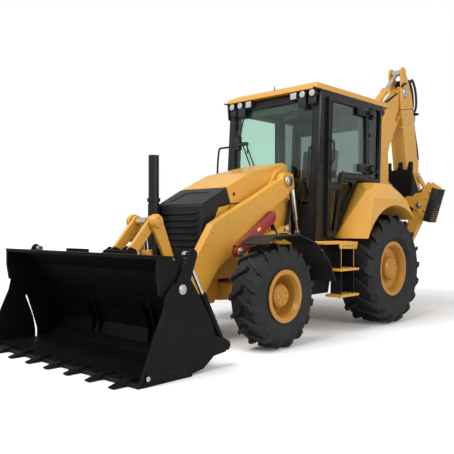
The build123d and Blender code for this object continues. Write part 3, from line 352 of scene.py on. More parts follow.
def wheel_fittings():
    """Wheel nuts, hub bolts and the valve."""
    # (end, x, wheel's middle y, axle height, disc's face and bolt circle, hub's end and bolt circle, rim)
    for end, x, y, z, disc, disc_r, hub, hub_r, rim_r in (
            ("rear", 0, 863, 668, 100, 168, 190, 82, 331), ("front", 2192, 940, 509, -58, 130, 120, 62, 255)):
        for hand, word in ((LEFT, "left"), (RIGHT, "right")):
            def nuts(bm):
                ring_of_bolts(bm, x, hand * (y + disc), z, hand, disc_r, 10, 13)
                ring_of_bolts(bm, x, hand * (y + hub), z, hand, hub_r, 8 if end == "rear" else 6, 11)
                drum(bm, (x, hand * (y + hub - 1), z), (x, hand * (y + hub + 7), z), 30, 27)
            # The nuts take the rims' darker yellow, painted shade.
            build(f"{end}_{word}_wheel_nuts", f"{end}_{word}_wheel", SHADED_RIM_YELLOW, nuts, 0.8)

            def valve(bm):
                drum(bm, (x, hand * (y + disc - 30), z + rim_r - 60),
                     (x, hand * (y + disc + 25), z + rim_r - 75),
                     7, 5, 12)
            build(f"{end}_{word}_valve", f"{end}_{word}_wheel", SEAL_RUBBER, valve)


# ---- cab ----
QUARTER = [(-294, 1800), (-340, 2690), (-40, 2690), (-40, 1800)]
LOW_PANE = [(640, 1230), (560, 1350), (330, 1672), (360, 1720), (575, 1715), (600, 1600)]
UPPER_PANE = [(80, 1830), (80, 2640), (842, 2640), (882, 1690), (680, 1690), (650, 1818)]
LOWER_PANE = [(905, 1120), (812, 1120), (762, 1310), (697, 1610), (886, 1610)]


def window_seals():
    """Rubber round every pane."""
    for number, (outline, y) in enumerate(((QUARTER, 702), (LOW_PANE, 702))):
        for hand, word in ((LEFT, "left"), (RIGHT, "right")):
            line(f"{word}_side_seal_{number}", "chassis", SEAL_RUBBER, [(x, hand * y, z) for x, z in outline],
                 9, closed=True, smooth=False)
    for number, outline in enumerate((UPPER_PANE, LOWER_PANE)):
        line(f"door_seal_{number}", "door", SEAL_RUBBER, [(x, 741, z) for x, z in outline], 9, True, False)
        line(f"right_pane_seal_{number}", "chassis", SEAL_RUBBER, [(x, -702, z) for x, z in outline], 9, True,
             False)
    line("windscreen_seal", "chassis", SEAL_RUBBER,
         [(1100, -600, 1420), (1100, 600, 1420), (1016, 600, 2660), (1016, -600, 2660)], 10, True, False)
    line("rear_window_seal", "chassis", SEAL_RUBBER,
         [(-355, -600, 1800), (-355, 600, 1800), (-397, 600, 2660), (-397, -600, 2660)], 10, True, False)


def door_fittings():
    """Pull handle, latch box and hinge covers on the door."""
    line("door_pull", "door", PLASTIC,
         [(884, 742, 2180), (892, 790, 2172), (894, 798, 2110),
          (896, 798, 1990), (894, 790, 1930), (888, 742, 1920)], 14)

    def latch(bm):
        brick(bm, (800, 740, 1745), (892, 762, 1830))
        drum(bm, (850, 760, 1790), (850, 772, 1790), 20)
    build("door_latch", "door", PLASTIC, latch, 4)

    def covers(bm):
        for z in (1900, 2600):
            brick(bm, (28, 738, z - 50), (300, 762, z + 50))
            for x in (90, 180, 265):
                bolt(bm, (x, 762, z), (0, 1, 0), 9)
    build("hinge_covers", "door", CAB_BLACK, covers, 3)

    def post_covers(bm):
        for z in (1900, 2600):
            brick(bm, (-112, 698, z - 60), (-54, 742, z + 60))
        for x, z in ((-70, 2342), (-250, 1880)):
            drum(bm, (x, 700, z), (x, 724, z), 24, 20)
    build("hinge_post_covers", "chassis", CAB_BLACK, post_covers, 4)


def lamp(bm_body, bm_lens, x, y, z, way, radius=52):
    """A round work lamp's housing and lens, looking along x."""
    drum(bm_body, (x - way * 66, y, z), (x + way * 2, y, z), radius * 0.8, radius)
    drum(bm_body, (x, y, z), (x + way * 9, y, z), radius, radius * 0.96)
    drum(bm_lens, (x + way * 7, y, z), (x + way * 14, y, z), radius * 0.84, radius * 0.6)


def cab_fittings():
    """Work lamps, wiper, mirror arms, antenna, grab rails and the lamps of the road."""
    housing, lens = bmesh.new(), bmesh.new()
    for x, y, z, way in ((1074, 620, 2712, 1), (1074, 484, 2712, 1), (-560, 600, 2712, -1)):
        for hand in (LEFT, RIGHT):
            lamp(housing, lens, x, hand * y, z, way, 50)
    for hand in (LEFT, RIGHT):
        # Square lamp inboard of the round ones.
        brick(housing, (1004, hand * 350 - 52, 2668), (1070, hand * 350 + 52, 2758))
        brick(lens, (1062, hand * 350 - 42, 2676), (1075, hand * 350 + 42, 2750))
        brick(housing, (-560, hand * 440 - 48, 2668), (-500, hand * 440 + 48, 2752))
        brick(lens, (-564, hand * 440 - 39, 2676), (-556, hand * 440 + 39, 2744))
    piece("work_lamp_housings", "chassis", PLASTIC, housing, 3)
    piece("work_lamp_lenses", "chassis", LENS, lens, 1.5)

    def wiper(bm):
        # Two arms side by side from a bracket by the far post to the middle of the windscreen's foot.
        for y_top, y_foot in ((-470, -190), (-410, -130)):
            drum(bm, (1048, y_top, 2230), (1092, y_foot, 1700), 9, 9, 10)
        brick(bm, (1010, -560, 2210), (1062, -400, 2250))
        drum(bm, (1056, -400, 2240), (1062, -372, 2180), 9, 9, 10)
        drum(bm, (1062, -372, 2180), (1064, -372, 2100), 9, 9, 10)
        brick(bm, (1000, -600, 2160), (1054, -520, 2330))
        drum(bm, (1034, -520, 2330), (1008, -470, 2620), 10, 10, 10)
    build("windscreen_wiper", "chassis", PLASTIC, wiper)

    def antenna(bm):
        drum(bm, (1010, 20, 2790), (1010, 20, 2815), 16, 12)
        drum(bm, (1010, 20, 2812), (1010, 20, 2890), 6, 5, 10)
    build("antenna", "chassis", PLASTIC, antenna)

    def mirrors(bm):
        # Mirrors that hang under the roof's front corners.
        for hand in (LEFT, RIGHT):
            brick(bm, (1040, hand * 470 - 55, 2560), (1075, hand * 470 + 55, 2680))
            brick(bm, (1040, hand * 610 - 50, 2590), (1070, hand * 610 + 50, 2680))
            drum(bm, (1050, hand * 470, 2670), (1030, hand * 470, 2760), 9)
            drum(bm, (1050, hand * 610, 2670), (1030, hand * 610, 2760), 9)
    build("front_mirrors", "chassis", PLASTIC, mirrors, 12)

    # Grab rail on the far front post, and the same on this side by the door.
    for hand, word in ((RIGHT, "right"),):
        line(f"{word}_grab_rail", "chassis", BLACK,
             [(1040, hand * 690, 2210), (1070, hand * 820, 2210), (1075, hand * 860, 2195),
              (1100, hand * 862, 1900), (1110, hand * 850, 1640), (1100, hand * 700, 1620)], 13)
    line("left_grab_rail", "chassis", BLACK,
         [(1092, 640, 2080), (1150, 640, 2080), (1168, 640, 2060), (1196, 640, 1640), (1180, 640, 1610),
          (1126, 640, 1600)], 13)

    def fin(bm):
        plate(bm, [(1052, -700, 2560), (1052, -700, 2790), (1040, -742, 2800), (1046, -716, 2560)],
              (-40, 0, 0))
    build("right_post_fin", "chassis", CAB_BLACK, fin, 2)


def front_post_trim():
    """Covers with a row of bolts down each front post."""
    def covers(bm):
        for hand in (LEFT, RIGHT):
            plate(bm, [(1127, hand * 655, 1100), (1012, hand * 655, 2730), (1004, hand * 655, 2730),
                       (1119, hand * 655, 1100)], (0, hand * 52, 0))
    build("front_post_covers", "chassis", CAB_BLACK, covers, 4)

    def studs(bm):
        for hand in (LEFT, RIGHT):
            for z in (2560, 2380, 2200, 2020, 1840, 1660, 1480, 1300):
                x = 1012 + (2745 - z) / 1735 * 118
                bolt(bm, (x - 30, hand * 700, z), (0, hand, 0), 8)
    build("front_post_studs", "chassis", BLACK, studs)


def roof_trim():
    """The gutters under the roof."""
    for hand, word in ((LEFT, "left"), (RIGHT, "right")):
        line(f"{word}_gutter", "chassis", CAB_BLACK,
             [(1150, hand * 688, 2755), (300, hand * 688, 2757), (-540, hand * 688, 2757)], 9, smooth=False)


def interior():
    """Headliner, post linings, floor mat, side console and levers."""
    def linings(bm):
        for hand in (LEFT, RIGHT):
            brick(bm, (-60, hand * 640 - 10, 1900), (90, hand * 640 + 10, 2700))
            plate(bm, [(960, hand * 640, 2690), (1010, hand * 640, 1900), (930, hand * 640, 1900),
                       (880, hand * 640, 2690)], (0, hand * 12, 0))
            brick(bm, (-330, hand * 640 - 10, 2640), (900, hand * 640 + 10, 2700))
            brick(bm, (-370, hand * 610 - 30, 1800), (-345, hand * 610 + 30, 2690))
        brick(bm, (-372, -600, 2480), (-350, 600, 2700))
    build("post_linings", "chassis", LINING_GREY, linings, 5)

    def dark(bm):
        brick(bm, (-340, -640, 2700), (960, 640, 2712))
        brick(bm, (760, -620, 1046), (1060, 620, 1056))
        brick(bm, (140, -540, 1046), (738, 540, 1052))
        brick(bm, (60, -548, 1046), (720, -400, 1560))
        brick(bm, (120, -530, 1560), (640, -410, 1640))
        brick(bm, (140, 300, 1380), (520, 372, 1500))
    build("cab_lining", "chassis", TRIM_GREY, dark, 10)

    def levers(bm):
        for x, y, z, tall in ((560, -470, 1640, 200), (480, -470, 1640, 180), (380, -470, 1640, 160),
                              (-230, 220, 1640, 260), (-230, -220, 1640, 260), (470, 336, 1500, 160)):
            drum(bm, (x, y, z - 5), (x + 20, y, z + tall), 7, 6, 12)
            bmesh.ops.create_uvsphere(bm, u_segments=14, v_segments=10, radius=0.024,
                                      matrix=Matrix.Translation(at(x + 21, y, z + tall + 12)))
        # Instrument pod beside the steering wheel.
        brick(bm, (935, 300, 1500), (1000, 460, 1700))
        drum(bm, (968, 380, 1046), (968, 380, 1500), 22, 18)
    build("control_levers", "chassis", PLASTIC, levers)

    def rear_pods(bm):
        for hand in (LEFT, RIGHT):
            brick(bm, (-300, hand * 220 - 80, 1100), (-170, hand * 220 + 80, 1640))
    build("rear_control_pods", "chassis", TRIM_GREY, rear_pods, 14)

    def sunshade(bm):
        brick(bm, (955, -560, 2560), (975, 560, 2690))
    build("sun_blind", "chassis", TRIM_GREY, sunshade, 5)

    def mirror(bm):
        brick(bm, (930, 120, 2470), (950, 350, 2560))
        drum(bm, (950, 240, 2560), (950, 240, 2640), 7)
    build("inside_mirror", "chassis", PLASTIC, mirror, 8)


def cushion(name, low, high, crown, tip=0.0):
    """A padded seat part: a rounded block, crowned on its faces, with a sewn channel pattern."""
    bm = bmesh.new()
    brick(bm, low, high)
    bmesh.ops.bevel(bm, geom=list(bm.edges), offset=0.028, offset_type="OFFSET", affect="EDGES", segments=3,
                    profile=0.5, material=-1, clamp_overlap=True)
    bmesh.ops.subdivide_edges(bm, edges=list(bm.edges), cuts=3, use_grid_fill=True)
    middle = (at(*low) + at(*high)) / 2
    half = (at(*high) - at(*low)) / 2
    for v in bm.verts:
        away = v.co - middle
        share = [away[i] / half[i] for i in range(3)]
        thin = min(range(3), key=lambda i: half[i])
        flat = [share[i] for i in range(3) if i != thin]
        dome = max(0.0, 1 - flat[0] ** 2) * max(0.0, 1 - flat[1] ** 2)
        v.co[thin] += crown / 1000 * dome * share[thin]
        # Sewn channels run across the cushion.
        seam = math.exp(-((abs(flat[1]) - 0.5) / 0.06) ** 2)
        v.co[thin] -= 0.006 * seam * (1 if share[thin] > 0 else 0)
    if tip:
        bmesh.ops.rotate(bm, verts=bm.verts, cent=Vector((at(*low).x, 0, at(*low).z)),
                         matrix=Matrix.Rotation(math.radians(tip), 3, "Y"))
    made = piece(name, "chassis", CLOTH, bm)
    return made


def seat():
    cushion("seat_base_cushion", (70, -236, 1598), (545, 236, 1690), 16)
    cushion("seat_back_cushion", (70, -225, 1690), (160, 225, 2170), 18, tip=-9)
    cushion("seat_head_rest", (-6, -130, 2190), (66, 130, 2330), 12, tip=-9)
    for hand, word in ((LEFT, "left"), (RIGHT, "right")):
        cushion(f"{word}_arm_rest", (120, hand * 285 - 32, 1780), (420, hand * 285 + 32, 1835), 6)

    def frame_bars(bm):
        for hand in (LEFT, RIGHT):
            drum(bm, (130, hand * 285, 1600), (130, hand * 285, 1785), 14)
            drum(bm, (20, hand * 90, 2150), (14, hand * 90, 2200), 8)
        brick(bm, (60, -250, 1490), (560, 250, 1502))
    build("seat_fittings", "chassis", PLASTIC, frame_bars, 2)


# ---- nose and hood ----
def hood_fittings():
    """Seams, latches and side bulges of the hood and the panels beneath it."""
    for hand, word in ((LEFT, "left"), (RIGHT, "right")):
        line(f"{word}_hood_seam", "chassis", SEAL_RUBBER,
             [(1160, hand * 342, 1494), (1700, hand * 342, 1450), (2150, hand * 342, 1412)], 4, smooth=False)
        line(f"{word}_panel_seam", "chassis", SEAL_RUBBER,
             [(2160, hand * 342, 1406), (2290, hand * 342, 1200), (2310, hand * 342, 1010)], 4, smooth=False)

    def latches(bm):
        for hand in (LEFT, RIGHT):
            drum(bm, (2100, hand * 339, 1520), (2100, hand * 346, 1520), 20, 17)
            drum(bm, (1300, hand * 339, 1560), (1300, hand * 346, 1560), 16, 14)
    build("hood_latches", "hood", BLACK, latches)

    def cowl(bm):
        # The raised yellow cowl in front of the cab, beside the arm's pivot.
        for hand in (LEFT, RIGHT):
            plate(bm, [(1180, hand * 312, 1500), (1180, hand * 312, 1880), (1260, hand * 312, 1880),
                       (1430, hand * 312, 1800), (1540, hand * 312, 1640), (1560, hand * 312, 1500)],
                  (0, hand * 34, 0))
    build("hood_side_bulges", "hood", YELLOW, cowl, 9)


def nose_fittings():
    """Screen behind the grille's slots, and its bars."""
    def bars(bm):
        for i in range(6):
            z = 940 + i * 66
            plate(bm, [(2574, -262, z + 26), (2574, -262, z + 62),
                       (2588, -262, z + 56), (2588, -262, z + 32)],
                  (0, 524, 0))
        for y in (-345, 325):
            brick(bm, (2574, y, 760), (2584, y + 20, 1360))
    build("grille_bars", "chassis", BLACK, bars, 2)

    def screen(bm):
        for i in range(34):
            y = -247 + i * 15
            brick(bm, (2556, y, 925), (2560, y + 4, 1320))
        for z in range(930, 1320, 22):
            brick(bm, (2557, -250, z), (2561, 250, z + 4))
    build("radiator_screen", "chassis", DARK_STEEL, screen)


def frame_fittings():
    """Bolts and caps on the nose, the towers and the frame, the struts and the hoses by the cab."""
    def caps(bm):
        for hand in (LEFT, RIGHT):
            pin_cap(bm, (1350, hand * 500, 1690), (0, hand, 0), 60)
            pin_cap(bm, (1370, hand * 498, 1150), (0, hand, 0), 44)
    build("tower_pin_caps", "chassis", STEEL, caps, 1.5)

    def bolts(bm):
        for hand in (LEFT, RIGHT):
            for x, z in ((1250, 960), (1400, 960), (1560, 960), (1230, 1500), (1250, 1620), (1560, 1300)):
                bolt(bm, (x, hand * 380, z), (0, hand, 0), 14)
            for x, z in ((2350, 640), (2520, 640), (2350, 500), (2520, 500)):
                bolt(bm, (x, hand * 300, z), (0, hand, 0), 16)
    build("frame_bolts", "chassis", YELLOW, bolts, 0.8)

    def struts(bm):
        for hand in (LEFT, RIGHT):
            drum(bm, (1196, hand * 500, 1112), (1291, hand * 500, 1600), 15)
            drum(bm, (1222, hand * 500, 1250), (1291, hand * 500, 1600), 24)
            drum(bm, (1196, hand * 475, 1112), (1196, hand * 525, 1112), 26)
    build("tower_struts", "chassis", STEEL, struts, 1)
    for hand, word in ((LEFT, "left"), (RIGHT, "right")):
        for i in range(3):
            y = hand * (430 + 26 * i)
            line(f"{word}_tower_hose_{i}", "chassis", HOSE_RUBBER,
                 [(1240 - 14 * i, hand * 384, 1420 + 30 * i), (1240 - 14 * i, hand * 415, 1420 + 30 * i),
                  (1300, y, 1300), (1380 + 16 * i, y, 1080 - 12 * i), (1500 + 10 * i, y, 1040 - 12 * i),
                  (1560, y, 1120), (1590, hand * 415, 1230 + 20 * i), (1590, hand * 378, 1240 + 20 * i)], 12)


def mudguard_fittings():
    def strips(bm):
        for hand in (LEFT, RIGHT):
            plate(bm, [(1700, hand * 820, 1026), (1955, hand * 820, 1112), (1955, hand * 820, 1124),
                       (1696, hand * 820, 1038)], (0, hand * 110, 0))
    build("mudguard_strips", "chassis", YELLOW, strips, 3)

    def brackets(bm):
        for hand in (LEFT, RIGHT):
            brick(bm, (1470, hand * 800 - 14, 850), (1570, hand * 800 + 14, 884))
            for x in (1490, 1550):
                bolt(bm, (x, hand * 700, 874), (0, 0, 1), 11)
    build("mudguard_brackets", "chassis", BLACK, brackets, 2)


def step_fittings():
    """Raised grip rings on the platforms and treads, and holes along the platform's skirt."""
    def grips(bm):
        for hand in (LEFT, RIGHT):
            for i in range(9):
                for j in range(4):
                    drum(bm, (770 + i * 70, hand * (710 + j * 75), 1006),
                         (770 + i * 70, hand * (710 + j * 75), 1013),
                         16, 12, 12)
            for z in (430, 716):
                for i in range(4):
                    for y in (900, 960, 1020):
                        drum(bm, (830 + i * 70, hand * y, z - 1), (830 + i * 70, hand * y, z + 6), 13, 10, 12)
    build("step_grips", "chassis", YELLOW, grips)

    def skirt(bm):
        for hand in (LEFT, RIGHT):
            plate(bm, [(724, hand * 996, 1008), (1111, hand * 996, 1008), (1104, hand * 996, 935),
                       (748, hand * 996, 925)], (0, hand * 12, 0))
    build("step_skirts", "chassis", YELLOW, skirt, 3)

    def holes(bm):
        for hand in (LEFT, RIGHT):
            for i in range(5):
                drum(bm, (840 + i * 48, hand * 1004, 962), (840 + i * 48, hand * 1009, 962), 9, sides=14)
    build("step_skirt_dimples", "chassis", BLACK, holes)


def tank_fittings():
    """Straps, fuel cap, sight glasses, blank plates and the battery cover."""
    def straps(bm):
        for hand in (LEFT, RIGHT):
            for x in (1010, 1330):
                brick(bm, (x, hand * 785 - 4, 470), (x + 36, hand * 785 + 6, 975))
            brick(bm, (1090, hand * 785 - 4, 560), (1290, hand * 785 + 8, 900))
            drum(bm, (1370, hand * 760, 870), (1395, hand * 770, 900), 34)
    build("tank_straps", "chassis", BLACK, straps, 4)

    def plates(bm):
        for x in (1120, 1175):
            brick(bm, (x, 790, 815), (x + 40, 795, 920))
    build("blank_plates", "chassis", PALE_LABEL, plates)

    def cap(bm):
        for hand in (LEFT, RIGHT):
            drum(bm, (1345, hand * 700, 975), (1345, hand * 700, 1000), 40, 36)
    build("fuel_caps", "chassis", BLACK, cap, 3)


# ---- loader ----
def arm_fittings():
    """Brace colour plate, pin caps, bolts and pipes on the arms."""
    def brace(bm):
        outline = [(2270, 872), (2206, 866), (1664, 1230), (1640, 1290), (1663, 1340), (1705, 1345),
                   (2270, 985)]
        plate(bm, [(x, 490, z) for x, z in outline], (0, 56, 0))
        drum(bm, (2230, 490, 925), (2230, 546, 925), 58)
    build("service_brace", "loader_arms", BRACE_RED, brace, 3)

    def label(bm):
        plate(bm, [(1905, 547, 1150), (1950, 547, 1120), (1968, 547, 1146), (1923, 547, 1176)], (0, 2, 0))
    build("brace_blank_label", "loader_arms", LABEL, label)

    def pins(bm):
        pin_cap(bm, (2230, 562, 925), (0, 1, 0), 38)
        for hand in (LEFT, RIGHT):
            pin_cap(bm, (3110, hand * 512, 290), (0, hand, 0), 40)
        pin_cap(bm, (2230, -482, 925), (0, -1, 0), 34)
    build("arm_pin_caps", "loader_arms", STEEL, pins, 1.5)

    def bolts(bm):
        for hand in (LEFT, RIGHT):
            for x, z in ((2560, 1120), (2640, 1010), (3070, 360), (3040, 320), (1480, 1600), (1300, 1690)):
                bolt(bm, (x, hand * 482, z), (0, hand, 0), 11)
    build("arm_bolts", "loader_arms", YELLOW, bolts, 0.8)
    for hand, word in ((LEFT, "left"), (RIGHT, "right")):
        for i in range(2):
            y = hand * (378 - 20 * i)
            line(f"{word}_arm_pipe_{i}", "loader_arms", HOSE_RUBBER,
                 [(1700, y, 1500), (1900, y, 1420), (2300, y, 1240), (2480, y, 1150), (2640, y, 900),
                  (2740, y, 740)], 9)

    def clips(bm):
        for hand in (LEFT, RIGHT):
            for x, z in ((1800, 1462), (2150, 1310), (2440, 1172), (2620, 930)):
                brick(bm, (x - 16, hand * 370 - 26, z - 18), (x + 16, hand * 370 + 24, z + 18))
    build("arm_pipe_clips", "loader_arms", STEEL, clips, 3)


def tilt_fittings():
    def caps(bm):
        for hand in (LEFT, RIGHT):
            drum(bm, (3028, hand * 207, 1225), (3028, hand * 214, 1225), 60, 57)
            for i in range(3):
                angle = math.radians(90 + 120 * i)
                bolt(bm, (3028 + 36 * math.cos(angle), hand * 212, 1225 + 36 * math.sin(angle)),
                     (0, hand, 0), 9)
    build("lever_pin_caps", "tilt_levers", YELLOW, caps, 1)

    def link_bolts(bm):
        for hand in (LEFT, RIGHT):
            bolt(bm, (3140, hand * 140, 1100), (0, hand, 0), 9)
    build("link_bolts", "bucket_links", YELLOW, link_bolts)


def bucket_fittings():
    """Bolted edge, pivot discs, wear strips and ribs."""
    def discs(bm):
        for hand in (LEFT, RIGHT):
            pin_cap(bm, (3639, hand * 1203, 688), (0, hand, 0), 40)
    build("jaw_pin_caps", "bucket_jaw", STEEL, discs, 1.5)

    def stops(bm):
        for hand in (LEFT, RIGHT):
            drum(bm, (3980, hand * 1200, 60), (3980, hand * 1209, 60), 22, 19)
    build("jaw_stop_discs", "bucket_jaw", STEEL, stops, 1)

    def plates(bm):
        for hand in (LEFT, RIGHT):
            plate(bm, [(3600, hand * 1201, 20), (4030, hand * 1201, 20), (4010, hand * 1201, 95),
                       (3600, hand * 1201, 95)], (0, hand * 7, 0))
            plate(bm, [(3770, hand * 1201, 560), (3820, hand * 1201, 540), (4050, hand * 1201, 40),
                       (4000, hand * 1201, 40)], (0, hand * 7, 0))
    build("jaw_wear_plates", "bucket_jaw", BUCKET_BLACK, plates, 2)

    def bolts(bm):
        for y in (-1050, -750, -450, -150, 150, 450, 750, 1050):
            for x in (3985, 4035):
                bolt(bm, (x, y, 47), (0, 0, 1), 10)
        for y in (-900, -600, -300, 0, 300, 600, 900):
            bolt(bm, (4000, y, 30), (0, 0, 1), 12)
    build("edge_bolts", "bucket_jaw", BUCKET_BLACK, bolts)

    def ribs(bm):
        for y in (-900, -560, 560, 900):
            plate(bm, [(3235, y - 8, 240), (3290, y - 8, 400), (3400, y - 8, 582), (3562, y - 8, 815),
                       (3520, y - 8, 830), (3360, y - 8, 620), (3240, y - 8, 410)], (0, 16, 0))
        brick(bm, (3690, -1150, 925), (3730, 1150, 940))
    build("bucket_ribs", "loader_bucket", BUCKET_BLACK, ribs, 2)

    def lip(bm):
        plate(bm, [(3690, -1178, 928), (3862, -1178, 944), (3880, -1178, 950), (3862, -1178, 958),
                   (3690, -1178, 944)], (0, 2356, 0))
    build("bucket_top_lip", "loader_bucket", BUCKET_BLACK, lip, 3)


def rod_glands():
    """Gland rings of the larger cylinders."""
    def wrap(bm, base, eye, y, radius, spots):
        a, b = Vector((base[0], y, base[1])), Vector((eye[0], y, eye[1]))
        way = (b - a).normalized()
        for spot, wide, more in spots:
            drum(bm, a + way * spot, a + way * (spot + wide), radius + more, sides=28)

    def lift(bm):
        for hand in (LEFT, RIGHT):
            wrap(bm, (1370, 1150), (2230, 925), hand * 437, 42, ((120, 14, 4), (560, 18, 5)))
    build("lift_barrel_bands", "lift_barrels", YELLOW, lift, 2)

    def boom_bands(bm):
        wrap(bm, (-1840, 560), (-1772, 1809), 0, 52, ((150, 20, 5), (430, 20, 5)))
    build("boom_barrel_bands", "boom_barrel", YELLOW, boom_bands, 2)

    def stick_bands(bm):
        wrap(bm, (-1130, 2740), (-2180, 3650), 0, 52, ((160, 20, 5), (600, 20, 5)))
    build("stick_barrel_bands", "stick_barrel", YELLOW, stick_bands, 2)

    def hoe_bands(bm):
        wrap(bm, (-2610, 2960), (-2960, 1790), 0, 42, ((140, 18, 5), (560, 18, 5)))
    build("hoe_barrel_bands", "hoe_barrel", YELLOW, hoe_bands, 2)


# ---- backhoe ----
def boom_fittings():
    def caps(bm):
        for hand in (LEFT, RIGHT):
            pin_cap(bm, (-2230, hand * 122, 3330), (0, hand, 0), 66)
    build("stick_pin_caps", "stick", STEEL, caps, 1.5)

    def boom_caps(bm):
        for hand in (LEFT, RIGHT):
            pin_cap(bm, (-1130, hand * 90, 2740), (0, hand, 0), 44)
            pin_cap(bm, (-1772, hand * 106, 1809), (0, hand, 0), 38)
    build("boom_pin_caps", "boom", STEEL, boom_caps, 1.5)

    def foot_caps(bm):
        for hand in (LEFT, RIGHT):
            pin_cap(bm, (-1650, hand * 140, 1120), (0, hand, 0), 56)
            pin_cap(bm, (-1840, hand * 132, 560), (0, hand, 0), 46)
    build("casting_pin_caps", "swing_casting", STEEL, foot_caps, 1.5)

    def stick_bolts(bm):
        for hand in (LEFT, RIGHT):
            for x, z in ((-2236, 3120), (-2328, 3200), (-2150, 3180)):
                bolt(bm, (x, hand * 115, z), (0, hand, 0), 10)
    build("stick_bolts", "stick", YELLOW, stick_bolts, 0.8)

    def sleeve_bolts(bm):
        for hand in (LEFT, RIGHT):
            for x, z in ((-2212, 2907), (-2327, 2835), (-2120, 2745),
                         (-2235, 2996), (-2440, 2900), (-2460, 2700)):
                drum(bm, (x, hand * 113, z), (x, hand * 121, z), 22, 20, 16)
                bolt(bm, (x, hand * 120, z), (0, hand, 0), 10)
            pin_cap(bm, (-2790, hand * 75, 1720), (0, hand, 0), 40)
            pin_cap(bm, (-2640, hand * 150, 2020), (0, hand, 0), 38)
            pin_cap(bm, (-2610, hand * 76, 2960), (0, hand, 0), 34)
    build("sleeve_bolts", "stick_sleeve", STEEL, sleeve_bolts, 0.8)

    # Hoses up the boom's back and over its nose, and the tall loops beside the stick.
    for i in range(2):
        y = -30 + 60 * i
        line(f"boom_hose_{i}", "boom", HOSE_RUBBER,
             [(-1330, y, 2300), (-1310, y, 2500), (-1420, y, 2760), (-1500, y, 2900), (-1600, y * 2, 3060),
              (-1730, y * 4, 3150), (-1900, y * 4.6, 3260)], 17)
        line(f"nose_hose_{i}", "stick", HOSE_RUBBER,
             [(-2070, y * 4.6, 3400), (-2180, y * 4.4, 3470), (-2300, y * 3, 3480), (-2420, y * 2, 3500),
              (-2500, y * 1.4, 3440), (-2520, y, 3250), (-2560, y, 3120), (-2640, y, 3060), (-2740, y, 3100),
              (-2800, y, 3240), (-2760, y, 3480), (-2640, y, 3640), (-2560, y, 3560), (-2540, y, 3400),
              (-2600, y, 3200), (-2700, y, 3020)], 20)
        line(f"sleeve_hose_{i}", "stick_sleeve", HOSE_RUBBER,
             [(-2700, y, 2830), (-2740, y, 2700), (-2790, y, 2560), (-2830, y, 2440), (-2850, y, 2300)], 17)
    line("crown_hose", "stick", HOSE_RUBBER,
         [(-2150, 62, 3590), (-2150, 62, 3680), (-2210, 62, 3716), (-2290, 62, 3690), (-2300, 62, 3610),
          (-2240, 62, 3570)], 13)

    def fittings(bm):
        for y in (-30, 30):
            drum(bm, (-2700, y, 2960), (-2702, y, 3030), 24, 24, 20)
            drum(bm, (-2701, y, 2990), (-2702, y, 3004), 30, 30, 20)
        for y in (-120, 120):
            brick(bm, (-2240, y - 14, 3240), (-2150, y + 14, 3400))
            for x, z in ((-2175, 3375), (-2215, 3375), (-2175, 3320), (-2215, 3265)):
                drum(bm, (x, y, z), (x, y + (22 if y > 0 else -22), z), 15, 13, 16)
    build("stick_hose_fittings", "stick", STEEL, fittings, 2)

    def sleeve_fittings(bm):
        for y in (-30, 30):
            drum(bm, (-2696, y, 2870), (-2700, y, 2820), 22, 22, 20)
            drum(bm, (-2850, y, 2310), (-2850, y, 2270), 22, 22, 20)
    build("sleeve_hose_fittings", "stick_sleeve", STEEL, sleeve_fittings, 2)

    def clamps(bm):
        brick(bm, (-2760, -90, 3040), (-2690, 90, 3076))
        brick(bm, (-2372, -96, 3500), (-2318, 96, 3560))
    build("stick_hose_clamps", "stick", BLACK, clamps, 4)

    def boom_clamps(bm):
        brick(bm, (-1350, -58, 2280), (-1304, 58, 2330))
        brick(bm, (-1450, -58, 2700), (-1400, 58, 2740))
    build("boom_hose_clamps", "boom", BLACK, boom_clamps, 4)


def hoe_bucket_fittings():
    def pockets(bm):
        for y in (-265, -97, 97, 265):
            brick(bm, (-2118, y - 36, 2070), (-2048, y + 36, 2120))
    build("hoe_tooth_pockets", "hoe_bucket", BUCKET_BLACK, pockets, 6)

    def wear(bm):
        for hand in (LEFT, RIGHT):
            plate(bm, [(-2110, hand * 299, 2020), (-2048, hand * 299, 1980), (-2044, hand * 299, 1720),
                       (-2130, hand * 299, 1740)], (0, hand * 8, 0))
    build("hoe_side_cutters", "hoe_bucket", BUCKET_BLACK, wear, 2)


